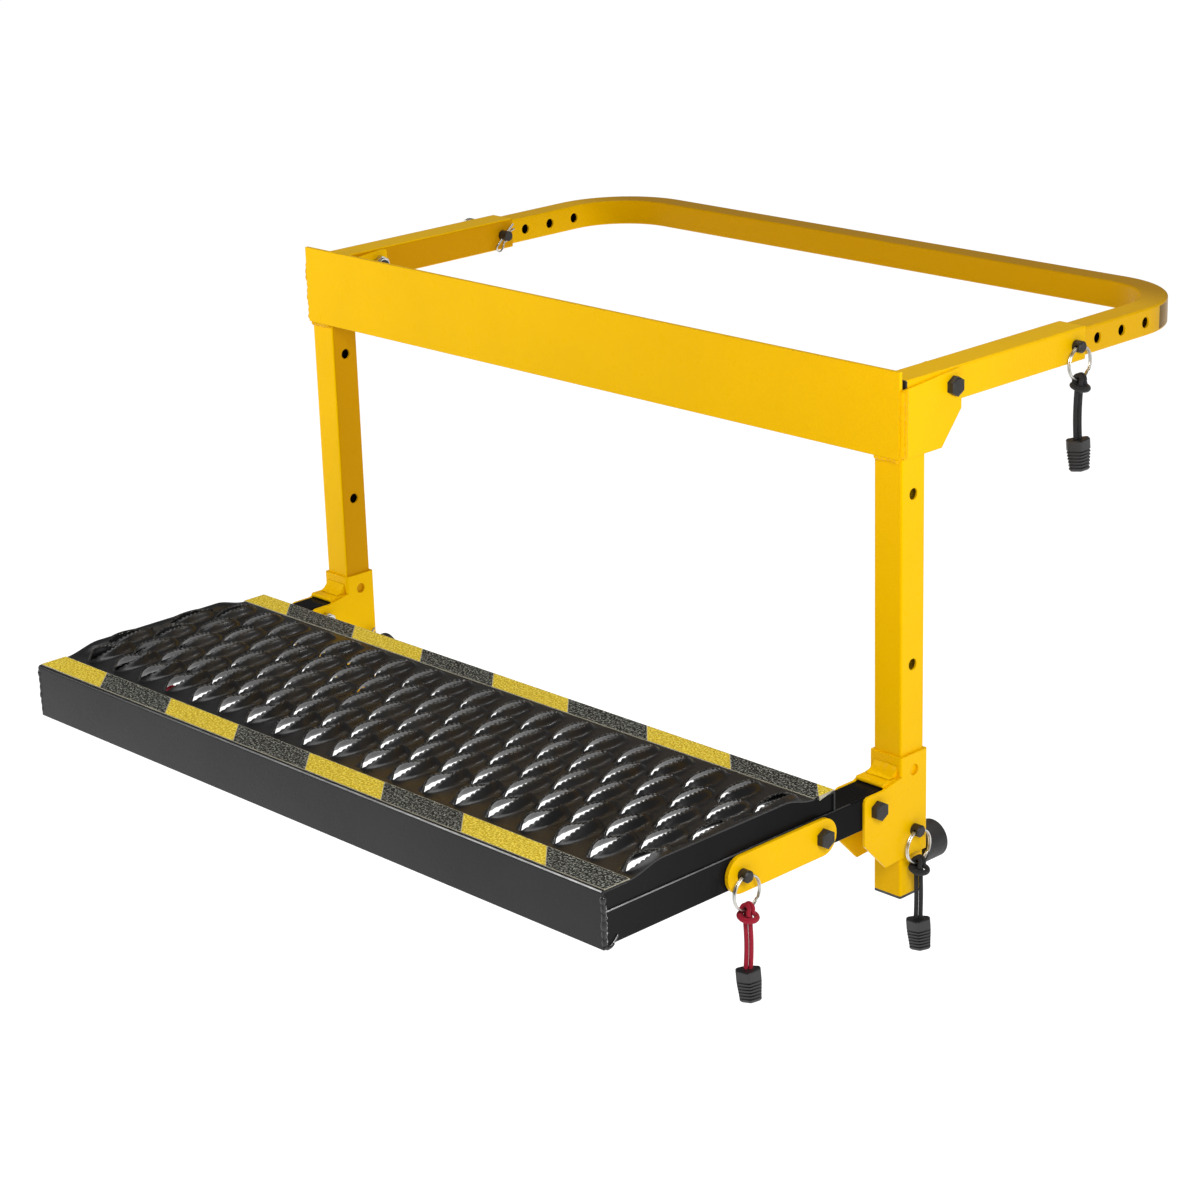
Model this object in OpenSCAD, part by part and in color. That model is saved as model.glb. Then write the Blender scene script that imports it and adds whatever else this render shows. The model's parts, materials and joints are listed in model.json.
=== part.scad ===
// Tailgate step: a folding platform hung from a hoop frame, with removable locking pins.
// Millimetres. X to the right, Y towards the vehicle, Z up. X = 0 midway between the posts,
// Y = 0 at the front plate's rear face, Z = 0 at the level of the tailgate that the hoop lies on.
// Heights in the settings below are measured from the posts' lower ends.

/* [Posts] */
// Outside width of the square post tube
post_w = 38.1; // [31.75:0.05:50.8]
// Wall of the post tube
post_wall = 2.5; // [1.5:0.1:4]
// Distance from the middle to each post's centre line
post_x = 465; // [300:5:600]
// Length of a post above its lower end
post_h = 543.9; // [400:0.1:700]
// Height of the lowest pin hole above the post's lower end
post_hole_z0 = 78.5; // [60:0.5:100]
// Spacing of the pin holes along a post
post_hole_pitch = 190.5; // [100:0.5:250]
// Number of pin holes in a post
post_hole_n = 3; // [2:1:6]

/* [Front plate] */
// Height of the front plate
plate_h = 94.5; // [60:0.5:120]
// Thickness of the front plate
plate_t = 4.75; // [3:0.05:8]
// Height of the front plate's lower edge
plate_z = 501; // [450:0.5:540]

/* [Hoop] */
// Outside width of the outer telescoping tube
outer_w = 38.1; // [31.75:0.05:50.8]
// Height of the hoop's centre plane
hoop_z = 565.1; // [500:0.1:650]
// Depth at which the outer tubes start, behind the front plate
outer_y0 = 8.5; // [4:0.5:20]
// Depth at which the outer tubes end
outer_y1 = 311; // [200:1:400]
// Outside width of the hoop tube
hoop_w = 31.75; // [25.4:0.05:38.1]
// Wall of the hoop tubes
hoop_wall = 2.9; // [1.5:0.1:3.1]
// Depth of the hoop's rear face
hoop_y1 = 545; // [400:1:700]
// Centre-line radius of the hoop's bends
hoop_bend_r = 96; // [60:1:160]
// Depth of the hoop pivot bolts
hoop_pivot_y = 79; // [60:0.5:120]
// Depth of the reach pins
reach_pin_y = 293; // [250:1:300]
// Spacing of the adjustment holes in the hoop
reach_pitch = 44.5; // [30:0.5:60]
// Number of adjustment holes that show behind the outer tube
reach_n = 3; // [1:1:5]

/* [Sleeves] */
// Height of a sleeve's lower edge
sleeve_z0 = 50; // [40:0.5:60]
// Height of a sleeve's upper edge
sleeve_z1 = 167.5; // [140:0.5:200]
// Plate thickness of the sleeves and cheeks
cheek_t = 3.1; // [2:0.1:5]
// Distance of the arm pivot in front of the post
arm_pivot_fwd = 42.1; // [35:0.1:60]
// Height of the arm pivot
arm_pivot_z = 120.5; // [100:0.5:140]
// Thickness of the stop plate over the arm's rear end
stop_t = 5; // [3:0.1:8]

/* [Platform] */
// Outside width of the arm tubes
arm_w = 38.1; // [31.75:0.05:50.8]
// Wall of the arm tubes
arm_wall = 2.5; // [1.5:0.1:4]
// Depth of the tread
tread_d = 344; // [250:1:450]
// Distance of the tread's front edge in front of the posts
tread_fwd = 450; // [400:1:600]
// Height of the tread's top face
tread_z = 162.5; // [150:0.5:180]
// Height of the tread's front flange
flange_h = 63.5; // [40:0.5:80]
// Sheet thickness of the tread
tread_t = 2.5; // [1.5:0.1:4]
// Spacing of the tread openings along the tread
slot_pitch = 50.8; // [40:0.1:60]
// Length of a tread opening
slot_l = 68; // [40:1:80]
// Width of a tread opening
slot_w = 11; // [6:0.5:16]
// Number of rows of openings
slot_rows = 5; // [3:1:7]
// Spacing of the rows
row_pitch = 46.7; // [40:0.1:60]
// Height of the raised serrated lips
lip_h = 9; // [4:0.5:14]

/* [Tape] */
// Width of the front anti-slip strip
tape_front_w = 38; // [25:1:50]
// Width of the rear anti-slip strip
tape_rear_w = 32; // [25:1:50]
// Length of one colour segment
tape_seg = 127; // [50:1:200]
// Thickness of the tape
tape_t = 0.8; // [0.5:0.1:1.5]

/* [Link bars] */
// Width of a link bar
link_w = 42; // [30:0.5:50]
// Thickness of a link bar
link_t = 4.5; // [3:0.1:6]
// Distance between a link bar's holes
link_pitch = 125; // [100:0.5:160]
// Distance of the link bar's bolt in front of the posts
link_bolt_fwd = 132.5; // [120:0.5:160]
// Thickness of the spacer behind a link bar
link_gap = 2; // [1:0.1:4]

/* [Pins and bolts] */
// Diameter of the locking pins
pin_d = 12.7; // [10:0.05:16]
// Diameter of a locking pin's head
pin_head_d = 13.5; // [13:0.1:20]
// Length of a locking pin's head
pin_head_l = 11; // [8:0.5:18]
// Diameter of the pivot bolts
bolt_d = 12.7; // [10:0.05:16]
// Size across the flats of the bolt heads
bolt_af = 19.05; // [15:0.05:24]
// Height of a bolt head
bolt_head = 8.2; // [5:0.1:12]

/* [Pulls] */
// Outside diameter of a split ring
ring_d = 41; // [30:0.5:50]
// Wire diameter of a split ring
ring_wire = 3; // [2:0.1:4]
// Diameter of the pull cord
cord_d = 4.4; // [3:0.1:6]
// Length of the doubled cord below the knot
cord_drop = 50; // [30:1:80]
// Length of a pull tab
tab_l = 38; // [25:1:50]
// Width of a pull tab
tab_w = 25; // [15:0.5:35]
// Greatest thickness of a pull tab
tab_t = 8; // [5:0.5:12]

/* [Bumpers] */
// Diameter of a rubber bumper
bumper_d = 43.5; // [30:0.5:60]
// Thickness of a rubber bumper
bumper_t = 35; // [15:1:40]
// Height of a bumper's centre
bumper_z = 43.5; // [30:0.5:60]

/* [Hidden] */
$fn = 48;
eps = 0.05;
run_gap = 0.05;                       // radial gap of a pin or bolt in its bore
slide_gap = 0.2;                      // gap between telescoping tubes
tube_r = 2.4;                         // outer corner radius of the square tubes
seat_gap = 0.1;                       // total play of a plastic plug in its tube
post_y = post_w / 2;                  // depth of the posts' centre lines
post_half = post_w / 2;
outer_half = outer_w / 2;
hoop_half = hoop_w / 2;
arm_half = arm_w / 2;
outer_wall = outer_half - hoop_half - slide_gap;
cheek_in = post_half + 0.1;           // inner face of a cheek, from the post's centre line
cheek_out = cheek_in + cheek_t;
sleeve_in = post_half + slide_gap;
sleeve_out = cheek_out;
sleeve_front = post_y - sleeve_out;
sleeve_hole_up = 70;                  // upper sleeve hole above the pinned one
arm_tail = 20;                        // arm length behind its pivot
arm_y1 = -arm_pivot_fwd + arm_tail;
arm_y0 = -tread_fwd + tread_t + eps;
arm_top = arm_pivot_z + arm_half;
arm_bot = arm_pivot_z - arm_half;
stop_z0 = arm_top + 0.55;
stop_y0 = -30;                        // front edge of a stop plate
cheek_y0 = -62.7;                     // front edge of a sleeve's cheeks
cheek_top = arm_top - 0.5;
tread_y0 = -tread_fwd;
tread_y1 = -tread_fwd + tread_d;
tread_half = post_x + arm_half;
slot_x0 = 10;                         // middle column of openings
slot_cols = 19;
slot_y0 = tread_y0 + 82;              // centre line of the front row
link_in = post_x + arm_half + link_gap;
link_out = link_in + link_t;
link_z = arm_pivot_z - 2;
link_pin_y = -link_bolt_fwd - link_pitch;
head_hole = 5.4;                      // cross hole in a pin head, for the ring
head_hole_in = 5;                     // from the cross hole to the head's outer end
head_gap = 0.3;
ring_r = (ring_d - ring_wire) / 2;
ring_up = 0.75;                       // wire centre above the cross hole's axis at its middle
knot_d = 15;
knot_h = 17;
loop_r = ring_wire / 2 + cord_d / 2 + 0.15; // centre line of the cord round the ring
cap_t = 3;
plug_l = 12;                          // how far a cap's plug reaches into its tube
bolt_hex = bolt_af / cos(30);
nut_h = 11;
nut_collar = 3;                       // round part of a lock nut
bolt_past = 1.5;                      // thread showing past a nut
bumper_nut = 6.4;
bumper_bolt = 7.8;
weld_leg = 7;
pin_tip = 13;                         // how far a locking pin stands out inside
clip_in = 5;                          // clip's distance from the face it holds
link_pin_tip = 6;
tread_rear_h = 45;                    // height of the rear flange between the sleeves
rail_w = 25;
rail_wall = 2;
lip_t = 2;
tape_inset = 0.8;
tape_front_a = -360;                  // first colour boundary of the front strip
tape_rear_a = -398;
clip_d = 2.4;
loose_turn = -88;                      // roll of the left reach pin, whose ring has no pull
clip_lean = -50;                      // tilt of the clips from vertical

// ---- helpers ----

// Moves heights measured from the posts' lower ends to heights from the tailgate's level.
module hang() {
    translate([0, 0, outer_half - hoop_z]) children();
}

// Mirrors its children to the left side when s is -1.
module side(s) {
    if (s < 0) mirror([1, 0, 0]) children();
    else children();
}

// Square outline of width w with corner radius r, centred.
module rounded_square(w, r) {
    h = w / 2 - r;
    union() {
        square([w, 2 * h], center = true);
        square([2 * h, w], center = true);
        for (sx = [-1, 1], sy = [-1, 1]) translate([sx * h, sy * h]) circle(r = r, $fn = 32);
    }
}

// Section of a square tube.
module tube_section(w, wall) {
    difference() {
        rounded_square(w, tube_r);
        square(w - 2 * wall, center = true);
    }
}

// Cylinder along X from x0 to x1 at depth y and height z.
module bar_x(x0, x1, y, z, d) {
    translate([x0, y, z]) rotate([0, 90, 0]) cylinder(d = d, h = x1 - x0);
}

// Cylinder along Y.
module bar_y(y0, y1, x, z, d) {
    translate([x, y0, z]) rotate([-90, 0, 0]) cylinder(d = d, h = y1 - y0);
}

// Hexagonal prism along X.
module hex_x(x0, x1, y, z, d) {
    translate([x0, y, z]) rotate([0, 90, 0]) cylinder(d = d, h = x1 - x0, $fn = 6);
}

// Outline in the Y-Z plane made into a plate from x0 to x1.
module plate_x(x0, x1) {
    translate([x0, 0, 0]) rotate([90, 0, 90]) linear_extrude(x1 - x0) children();
}

// ---- fixed frame ----

module front_plate() {
    color("#f2b90c") hang()
    translate([-tread_half - 0.4, -plate_t, plate_z])
        cube([2 * (tread_half + 0.4), plate_t, plate_h]);
}

module post(s) {
    color("#f2b90c") hang()
    side(s) difference() {
        translate([post_x, post_y, cap_t])
            linear_extrude(post_h - cap_t) tube_section(post_w, post_wall);
        for (i = [0 : post_hole_n - 1])
            bar_x(post_x - post_w, post_x + post_w, post_y,
                post_hole_z0 + i * post_hole_pitch, pin_d + 2 * run_gap);
        bar_y(-post_w, 2 * post_w, post_x, bumper_z, bumper_bolt + 0.2);
    }
}

module post_left() { post(-1); }
module post_right() { post(1); }

module post_caps() {
    plug_w = post_w - 2 * post_wall - seat_gap;
    color("#1c1c1c") hang()
    for (s = [-1, 1]) translate([s * post_x, post_y, 0]) {
        linear_extrude(cap_t) rounded_square(post_w, tube_r);
        linear_extrude(cap_t + plug_l) square(plug_w, center = true);
    }
}

// Side plate that carries the hoop pivot: rises to the rear, its lower rear corner cut away.
module pivot_cheek_outline() {
    top_f = hoop_z + 10.5;
    top_r = hoop_z + 17.5;
    rear = hoop_pivot_y + 14;
    polygon([[0, plate_z], [post_w, plate_z], [post_w + 23, plate_z], [rear, plate_z + 37],
        [rear, top_r - 4], [rear - 1.5, top_r - 1], [rear - 5, top_r], [0, top_f]]);
}

module pivot_cheeks(s) {
    color("#f2b90c") hang()
    side(s) difference() {
        for (x = [post_x + cheek_in, post_x - cheek_out])
            plate_x(x, x + cheek_t) pivot_cheek_outline();
        bar_x(post_x - post_w, post_x + post_w, hoop_pivot_y, hoop_z, bolt_d + 2 * run_gap);
    }
}

module pivot_cheeks_left() { pivot_cheeks(-1); }
module pivot_cheeks_right() { pivot_cheeks(1); }

// Beads between the plate's ends and the outer cheeks, and under the plate.
module plate_welds() {
    color("#f2b90c") hang()
    for (s = [-1, 1]) side(s) {
        translate([tread_half + 0.4, -0.2, plate_z + 2])
            linear_extrude(plate_h - 22) polygon([[0, 0.2], [2.8, 0.2], [0, -3.6]]);
        plate_x(post_x - post_half + 2, post_x + post_half - 2)
            polygon([[0, plate_z], [0, plate_z - weld_leg], [-weld_leg / 2, plate_z]]);
    }
}

// Cheek outline of a sleeve: forward lobe round the arm pivot, lower front corner cut at 45 degrees.
module sleeve_cheek_outline() {
    z_cut = sleeve_z0 + 34;
    polygon([[sleeve_front + 8, sleeve_z0], [-27.5, sleeve_z0 - 2], [cheek_y0, z_cut],
        [cheek_y0, cheek_top - 6], [cheek_y0 + 1.5, cheek_top - 2], [cheek_y0 + 6, cheek_top],
        [stop_y0 - 1, cheek_top], [stop_y0 + 1, stop_z0], [sleeve_front + 8, stop_z0 + stop_t + 1]]);
}

module sleeve(s) {
    color("#f2b90c") hang()
    side(s) difference() {
        union() {
            translate([post_x, post_y, sleeve_z0]) linear_extrude(sleeve_z1 - sleeve_z0)
                rounded_square(2 * sleeve_out, tube_r + 0.6);
            for (x = [post_x + cheek_out - cheek_t, post_x - cheek_out])
                plate_x(x, x + cheek_t) sleeve_cheek_outline();
        }
        translate([post_x, post_y, sleeve_z0 - 10])
            linear_extrude(sleeve_z1) square(2 * sleeve_in, center = true);
        for (z = [post_hole_z0, post_hole_z0 + sleeve_hole_up])
            bar_x(post_x - post_w, post_x + post_w, post_y, z, pin_d + 2 * run_gap);
        bar_x(post_x - post_w, post_x + post_w, -arm_pivot_fwd, arm_pivot_z, bolt_d + 2 * run_gap);
    }
}

module sleeve_left() { sleeve(-1); }
module sleeve_right() { sleeve(1); }

// Flat stop plates that the arms' rear ends bear up against.
module stop_plates() {
    color("#f2b90c") hang()
    for (s = [-1, 1])
        plate_x(s * post_x - cheek_in, s * post_x + cheek_in)
            polygon([[stop_y0 + 1.5, stop_z0], [sleeve_front, stop_z0],
                [sleeve_front, stop_z0 + stop_t], [stop_y0 + 1.5, stop_z0 + stop_t],
                [stop_y0, stop_z0 + stop_t - 1.5], [stop_y0, stop_z0 + 1.5]]);
}

module stop_welds() {
    z = stop_z0 + stop_t;
    y = sleeve_front;
    color("#f2b90c") hang()
    for (s = [-1, 1])
        plate_x(s * post_x - cheek_in + 1, s * post_x + cheek_in - 1)
            polygon([[y, z], [y, z + 12], [y - 1.6, z + 7.5],
                [y - 4.5, z + 3.5], [y - 9, z + 1.3], [y - 13, z]]);
}

// ---- locking pins ----

// Pin along X whose head starts at x0 outside and whose tip ends at x1 inside.
// turn rolls the head's cross hole about the pin.
module locking_pin(x0, x1, y, z, clip_x, turn = 0) {
    difference() {
        union() {
            bar_x(x1, x0, y, z, pin_d);
            bar_x(x0, x0 + pin_head_l - 1.5, y, z, pin_head_d);
            translate([x0 + pin_head_l - 1.5, y, z]) rotate([0, 90, 0])
                cylinder(d1 = pin_head_d, d2 = pin_head_d - 3, h = 1.5);
        }
        translate([x0 + pin_head_l - head_hole_in, y, z]) rotate([90 + turn, 0, 0])
            cylinder(d = head_hole, h = 2 * pin_head_d, center = true);
        if (clip_x != 0)
            translate([clip_x, y, z]) rotate([clip_lean, 0, 0])
                cylinder(d = clip_d + 0.4, h = 2 * pin_d, center = true);
    }
}

// Wire clip path in its own plane: straight leg, eye, then a leg that bows round the pin.
clip_bow = pin_d / 2 + clip_d / 2 + 0.3;
clip_path = concat([[0, 20], [0, -16]],
    [for (a = [200 : 20 : 340]) [5, -17] + 5 * [cos(a), sin(a)]],
    [[9.6, -14], [7, -9.5]],
    [for (a = [-48 : 16 : 48]) clip_bow * [cos(a), sin(a)]],
    [[3.4, 9], [3.3, 11], [6, 17]]);

// Tube of diameter d along a planar path in the Y-Z plane.
module planar_wire(path, d) {
    m = len(path);
    sides = 8;
    dir = [for (i = [0 : m - 1]) let (v = path[min(i + 1, m - 1)] - path[max(i - 1, 0)]) v / norm(v)];
    points = [for (i = [0 : m - 1], j = [0 : sides - 1]) let (a = 360 * j / sides)
        [d / 2 * sin(a), path[i][0] - dir[i][1] * d / 2 * cos(a),
            path[i][1] + dir[i][0] * d / 2 * cos(a)]];
    walls = [for (i = [0 : m - 2], j = [0 : sides - 1]) let (k = (j + 1) % sides)
        [i * sides + j, i * sides + k, (i + 1) * sides + k, (i + 1) * sides + j]];
    ends = [[for (j = [sides - 1 : -1 : 0]) j], [for (j = [0 : sides - 1]) (m - 1) * sides + j]];
    polyhedron(points, concat(walls, ends), convexity = 4);
}

module pin_clip(x, y, z) {
    translate([x, y, z]) rotate([clip_lean, 0, 0]) planar_wire(clip_path, clip_d);
}

module height_pins() {
    color("#232323") hang()
    for (s = [-1, 1]) side(s)
        locking_pin(post_x + sleeve_out + head_gap, post_x - sleeve_out - pin_tip,
            post_y, post_hole_z0, post_x - sleeve_out - clip_in);
}

module height_pin_clips() {
    color("#c8c8c8") hang()
    for (s = [-1, 1]) side(s)
        pin_clip(post_x - sleeve_out - clip_in, post_y, post_hole_z0);
}

module reach_pins() {
    color("#232323") hang()
    for (s = [-1, 1]) side(s)
        locking_pin(post_x + outer_half + head_gap, post_x - outer_half - pin_tip,
            reach_pin_y, hoop_z, post_x - outer_half - clip_in, s < 0 ? loose_turn : 0);
}

module reach_pin_clips() {
    color("#c8c8c8") hang()
    for (s = [-1, 1]) side(s)
        pin_clip(post_x - outer_half - clip_in, reach_pin_y, hoop_z);
}

module link_pin(s) {
    color("#232323") hang()
    side(s) locking_pin(link_out + head_gap, post_x - arm_half - link_pin_tip, link_pin_y, link_z, 0);
}

module link_pin_left() { link_pin(-1); }
module link_pin_right() { link_pin(1); }

// ---- bumpers ----

module bumpers() {
    y0 = post_w + bumper_nut;
    color("#1b1b1b") hang()
    for (s = [-1, 1]) translate([s * post_x, y0, bumper_z]) rotate([-90, 0, 0])
        difference() {
            union() {
                cylinder(d = bumper_d, h = bumper_t - 2);
                translate([0, 0, bumper_t - 2])
                    cylinder(d1 = bumper_d, d2 = bumper_d - 4, h = 2);
            }
            translate([0, 0, -1]) cylinder(d = bumper_bolt + 0.2, h = bumper_t - 8);
        }
}

module bumper_bolts() {
    y1 = post_w + bumper_nut + bumper_t - 10;
    color("#d0d0d0") hang()
    for (s = [-1, 1]) {
        bar_y(-4.5, 0, s * post_x, bumper_z, 12.8);
        bar_y(-1, y1, s * post_x, bumper_z, bumper_bolt);
    }
}

module bumper_nuts() {
    color("#d0d0d0") hang()
    for (s = [-1, 1]) difference() {
        translate([s * post_x, post_w, bumper_z]) rotate([-90, 0, 0])
            cylinder(d = 14.4, h = bumper_nut, $fn = 6);
        bar_y(post_w - 1, post_w + bumper_nut + 1, s * post_x, bumper_z, bumper_bolt + 0.1);
    }
}

// ---- pivot bolts ----

// Bolt along X: hexagon head outside, shank inwards to x_end.
module pivot_bolt(x_head, x_end, y, z) {
    hex_x(x_head, x_head + bolt_head - 0.8, y, z, bolt_hex);
    translate([x_head + bolt_head - 0.8, y, z]) rotate([0, 90, 0])
        cylinder(d1 = bolt_af, d2 = bolt_af - 2.4, h = 0.8);
    bar_x(x_end, x_head + 1, y, z, bolt_d);
}

// Lock nut along X that ends at x_face on its outer side.
module lock_nut(x_face, y, z) {
    difference() {
        union() {
            hex_x(x_face - nut_h + nut_collar, x_face, y, z, bolt_hex);
            bar_x(x_face - nut_h, x_face - nut_h + nut_collar, y, z, bolt_af - 2);
        }
        bar_x(x_face - nut_h - 1, x_face + 1, y, z, bolt_d + 0.02);
    }
}

module arm_pivot_bolts() {
    color("#2a2a2a") hang()
    for (s = [-1, 1]) side(s)
        pivot_bolt(post_x + cheek_out, post_x - cheek_out - nut_h - bolt_past,
            -arm_pivot_fwd, arm_pivot_z);
}

module arm_pivot_nuts() {
    color("#c8c8c8") hang()
    for (s = [-1, 1]) side(s) lock_nut(post_x - cheek_out, -arm_pivot_fwd, arm_pivot_z);
}

module hoop_pivot_bolts() {
    color("#2a2a2a") hang()
    for (s = [-1, 1]) side(s)
        pivot_bolt(post_x + cheek_out, post_x - cheek_out - nut_h - bolt_past, hoop_pivot_y, hoop_z);
}

module hoop_pivot_nuts() {
    color("#c8c8c8") hang()
    for (s = [-1, 1]) side(s) lock_nut(post_x - cheek_out, hoop_pivot_y, hoop_z);
}

// ---- hoop ----

module outer_tube(s) {
    color("#f2b90c") hang()
    side(s) difference() {
        translate([post_x, outer_y0, hoop_z]) rotate([-90, 0, 0])
            linear_extrude(outer_y1 - outer_y0) tube_section(outer_w, outer_wall);
        bar_x(post_x - post_w, post_x + post_w, hoop_pivot_y, hoop_z, bolt_d + 2 * run_gap);
        bar_x(post_x - post_w, post_x + post_w, reach_pin_y, hoop_z, pin_d + 2 * run_gap);
    }
}

module outer_tube_left() { outer_tube(-1); }
module outer_tube_right() { outer_tube(1); }

module outer_tube_caps() {
    color("#1c1c1c") hang()
    for (s = [-1, 1]) translate([s * post_x, outer_y0, hoop_z]) rotate([90, 0, 0]) {
        linear_extrude(2.5) rounded_square(outer_w, tube_r);
        translate([0, 0, -10]) linear_extrude(11) square(outer_w - 2 * outer_wall - 0.2, center = true);
    }
}

module hoop_leg(s) {
    y0 = reach_pin_y - 2 * reach_pitch - 20;
    y1 = hoop_y1 - hoop_half - hoop_bend_r;
    translate([s * post_x, y0, hoop_z]) rotate([-90, 0, 0])
        linear_extrude(y1 - y0) tube_section(hoop_w, hoop_wall);
}

module hoop_bend(s) {
    side(s) translate([post_x - hoop_bend_r, hoop_y1 - hoop_half - hoop_bend_r, hoop_z])
        rotate_extrude(angle = 90) translate([hoop_bend_r, 0]) tube_section(hoop_w, hoop_wall);
}

module hoop_tube() {
    x1 = post_x - hoop_bend_r;
    color("#f2b90c") hang()
    difference() {
        union() {
            for (s = [-1, 1]) {
                hoop_leg(s);
                hoop_bend(s);
            }
            translate([-x1, hoop_y1 - hoop_half, hoop_z]) rotate([0, 90, 0])
                linear_extrude(2 * x1) tube_section(hoop_w, hoop_wall);
        }
        for (s = [-1, 1], i = [-1 : reach_n])
            bar_x(s * post_x - post_w, s * post_x + post_w, reach_pin_y + i * reach_pitch,
                hoop_z, pin_d + 2 * run_gap);
    }
}

// ---- platform ----

module arm(s) {
    color("#2b2b2b") hang()
    side(s) difference() {
        translate([post_x, arm_y0, arm_pivot_z]) rotate([-90, 0, 0])
            linear_extrude(arm_y1 - arm_y0) tube_section(arm_w, arm_wall);
        bar_x(post_x - post_w, post_x + post_w, -arm_pivot_fwd, arm_pivot_z, bolt_d + 2 * run_gap);
        bar_x(post_x - post_w, post_x + post_w, -link_bolt_fwd, link_z, bolt_d + 2 * run_gap);
        bar_x(post_x - post_w, post_x + post_w, link_pin_y, link_z, pin_d + 2 * run_gap);
    }
}

module arm_left() { arm(-1); }
module arm_right() { arm(1); }

// Centre of the opening in column i and row k; alternate rows move half a pitch sideways.
function slot_at(i, k) = [slot_x0 + (i - (slot_cols - 1) / 2) * slot_pitch
    - (k % 2) * slot_pitch / 2, slot_y0 + k * row_pitch];

// Pointed opening, long axis front to back.
module slot_outline() {
    polygon([[0, -slot_l / 2], [slot_w * 0.36, -slot_l * 0.3], [slot_w / 2, 0],
        [slot_w * 0.36, slot_l * 0.3], [0, slot_l / 2], [-slot_w * 0.36, slot_l * 0.3],
        [-slot_w / 2, 0], [-slot_w * 0.36, -slot_l * 0.3]]);
}

module tread() {
    x_in = post_x - cheek_out - 6;
    color("#262626") hang() {
        translate([0, 0, tread_z - tread_t]) linear_extrude(tread_t) difference() {
            translate([-tread_half, tread_y0]) square([2 * tread_half, tread_d]);
            for (k = [0 : slot_rows - 1], i = [0 : slot_cols - 1])
                translate(slot_at(i, k)) slot_outline();
        }
        translate([-tread_half, tread_y0, tread_z - flange_h])
            cube([2 * tread_half, tread_t, flange_h]);
        translate([0, tread_y1, 0]) rotate([90, 0, 0]) linear_extrude(tread_t)
            polygon([[-tread_half, tread_z], [tread_half, tread_z],
                [tread_half, arm_top + eps], [x_in, arm_top + eps], [x_in, tread_z - tread_rear_h],
                [-x_in, tread_z - tread_rear_h], [-x_in, arm_top + eps], [-tread_half, arm_top + eps]]);
    }
}

// Serrated lip along the left edge of each opening.
module lip_outline() {
    n = 10;
    run = slot_l * 0.8;
    polygon(concat([[-run / 2, 0]],
        [for (j = [0 : n]) let (u = -0.5 + j / n, top = lip_h * (1 - pow(2 * u, 4)))
            [u * run * 0.9, max(1, top) - (j % 2) * 1.4]],
        [[run / 2, 0]]));
}

module tread_lips() {
    color("#262626") hang()
    for (k = [0 : slot_rows - 1], i = [0 : slot_cols - 1]) {
        p = slot_at(i, k);
        translate([p[0] - slot_w / 2 - lip_t, p[1], tread_z])
            rotate([90, 0, 90]) linear_extrude(lip_t) lip_outline();
    }
}

module tread_end_plates() {
    color("#262626") hang()
    for (s = [-1, 1]) side(s)
        translate([tread_half - 3, tread_y0 + tread_t, arm_top + eps])
            cube([3, tread_d - 2 * tread_t, tread_z - tread_t - arm_top - eps]);
}

module cross_rails() {
    x1 = post_x - arm_half;
    color("#262626") hang()
    for (y = [tread_y0 + 24, tread_y1 - 21])
        translate([-x1, y, tread_z - tread_t - rail_w / 2]) rotate([0, 90, 0])
            linear_extrude(2 * x1) tube_section(rail_w, rail_wall);
}

// ---- anti-slip tape ----

// Slanted colour segment between lines a and b of a strip, clipped to the tread's ends.
module tape_piece(y0, w, a, b) {
    x1 = tread_half - tape_inset;
    translate([0, 0, tread_z]) linear_extrude(tape_t) intersection() {
        translate([-x1, y0]) square([2 * x1, w]);
        polygon([[a, y0], [b, y0], [b - w, y0 + w], [a - w, y0 + w]]);
    }
}

// Every second segment of both strips, starting with segment q.
module tape(q) {
    front_y = tread_y0 + 1.5;
    rear_y = tread_y1 - tape_rear_w - tape_inset;
    for (i = [q : 2 : 9]) {
        tape_piece(front_y, tape_front_w, tape_front_a + (i - 1) * tape_seg + 0.05,
            tape_front_a + i * tape_seg - 0.05);
        tape_piece(rear_y, tape_rear_w, tape_rear_a + (i - 1) * tape_seg + 0.05,
            tape_rear_a + i * tape_seg - 0.05);
    }
}

module tape_yellow() { color("#e0b61e") hang() tape(0); }
module tape_black() { color("#3c3d38") hang() tape(1); }

// ---- link bars ----

module link_bars() {
    color("#f2b90c") hang()
    for (s = [-1, 1]) side(s) difference() {
        plate_x(link_in, link_out) union() {
            for (y = [-link_bolt_fwd, link_pin_y]) translate([y, link_z]) circle(d = link_w);
            translate([link_pin_y, link_z - link_w / 2]) square([link_pitch, link_w]);
        }
        bar_x(link_in - 1, link_out + 1, -link_bolt_fwd, link_z, bolt_d + 2 * run_gap);
        bar_x(link_in - 1, link_out + 1, link_pin_y, link_z, pin_d + 2 * run_gap);
    }
}

module link_bolts() {
    color("#2a2a2a") hang()
    for (s = [-1, 1]) side(s)
        pivot_bolt(link_out, post_x - arm_half - nut_h - bolt_past, -link_bolt_fwd, link_z);
}

module link_nuts() {
    color("#c8c8c8") hang()
    for (s = [-1, 1]) side(s) lock_nut(post_x - arm_half, -link_bolt_fwd, link_z);
}

module link_spacers() {
    color("#c8c8c8") hang()
    for (s = [-1, 1]) side(s) for (y = [-link_bolt_fwd, link_pin_y]) difference() {
        bar_x(post_x + arm_half, link_in, y, link_z, 24);
        bar_x(post_x + arm_half - 1, link_in + 1, y, link_z, bolt_d + 2 * run_gap);
    }
}

// ---- pin pulls ----

// Points to draw a pull at: side, axis of the ring's cross hole as x, y and z.
hang_height = [post_x + sleeve_out + head_gap + pin_head_l - head_hole_in, post_y, post_hole_z0];
hang_reach = [post_x + outer_half + head_gap + pin_head_l - head_hole_in, reach_pin_y, hoop_z];
hang_link = [link_out + head_gap + pin_head_l - head_hole_in, link_pin_y, link_z];

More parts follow.
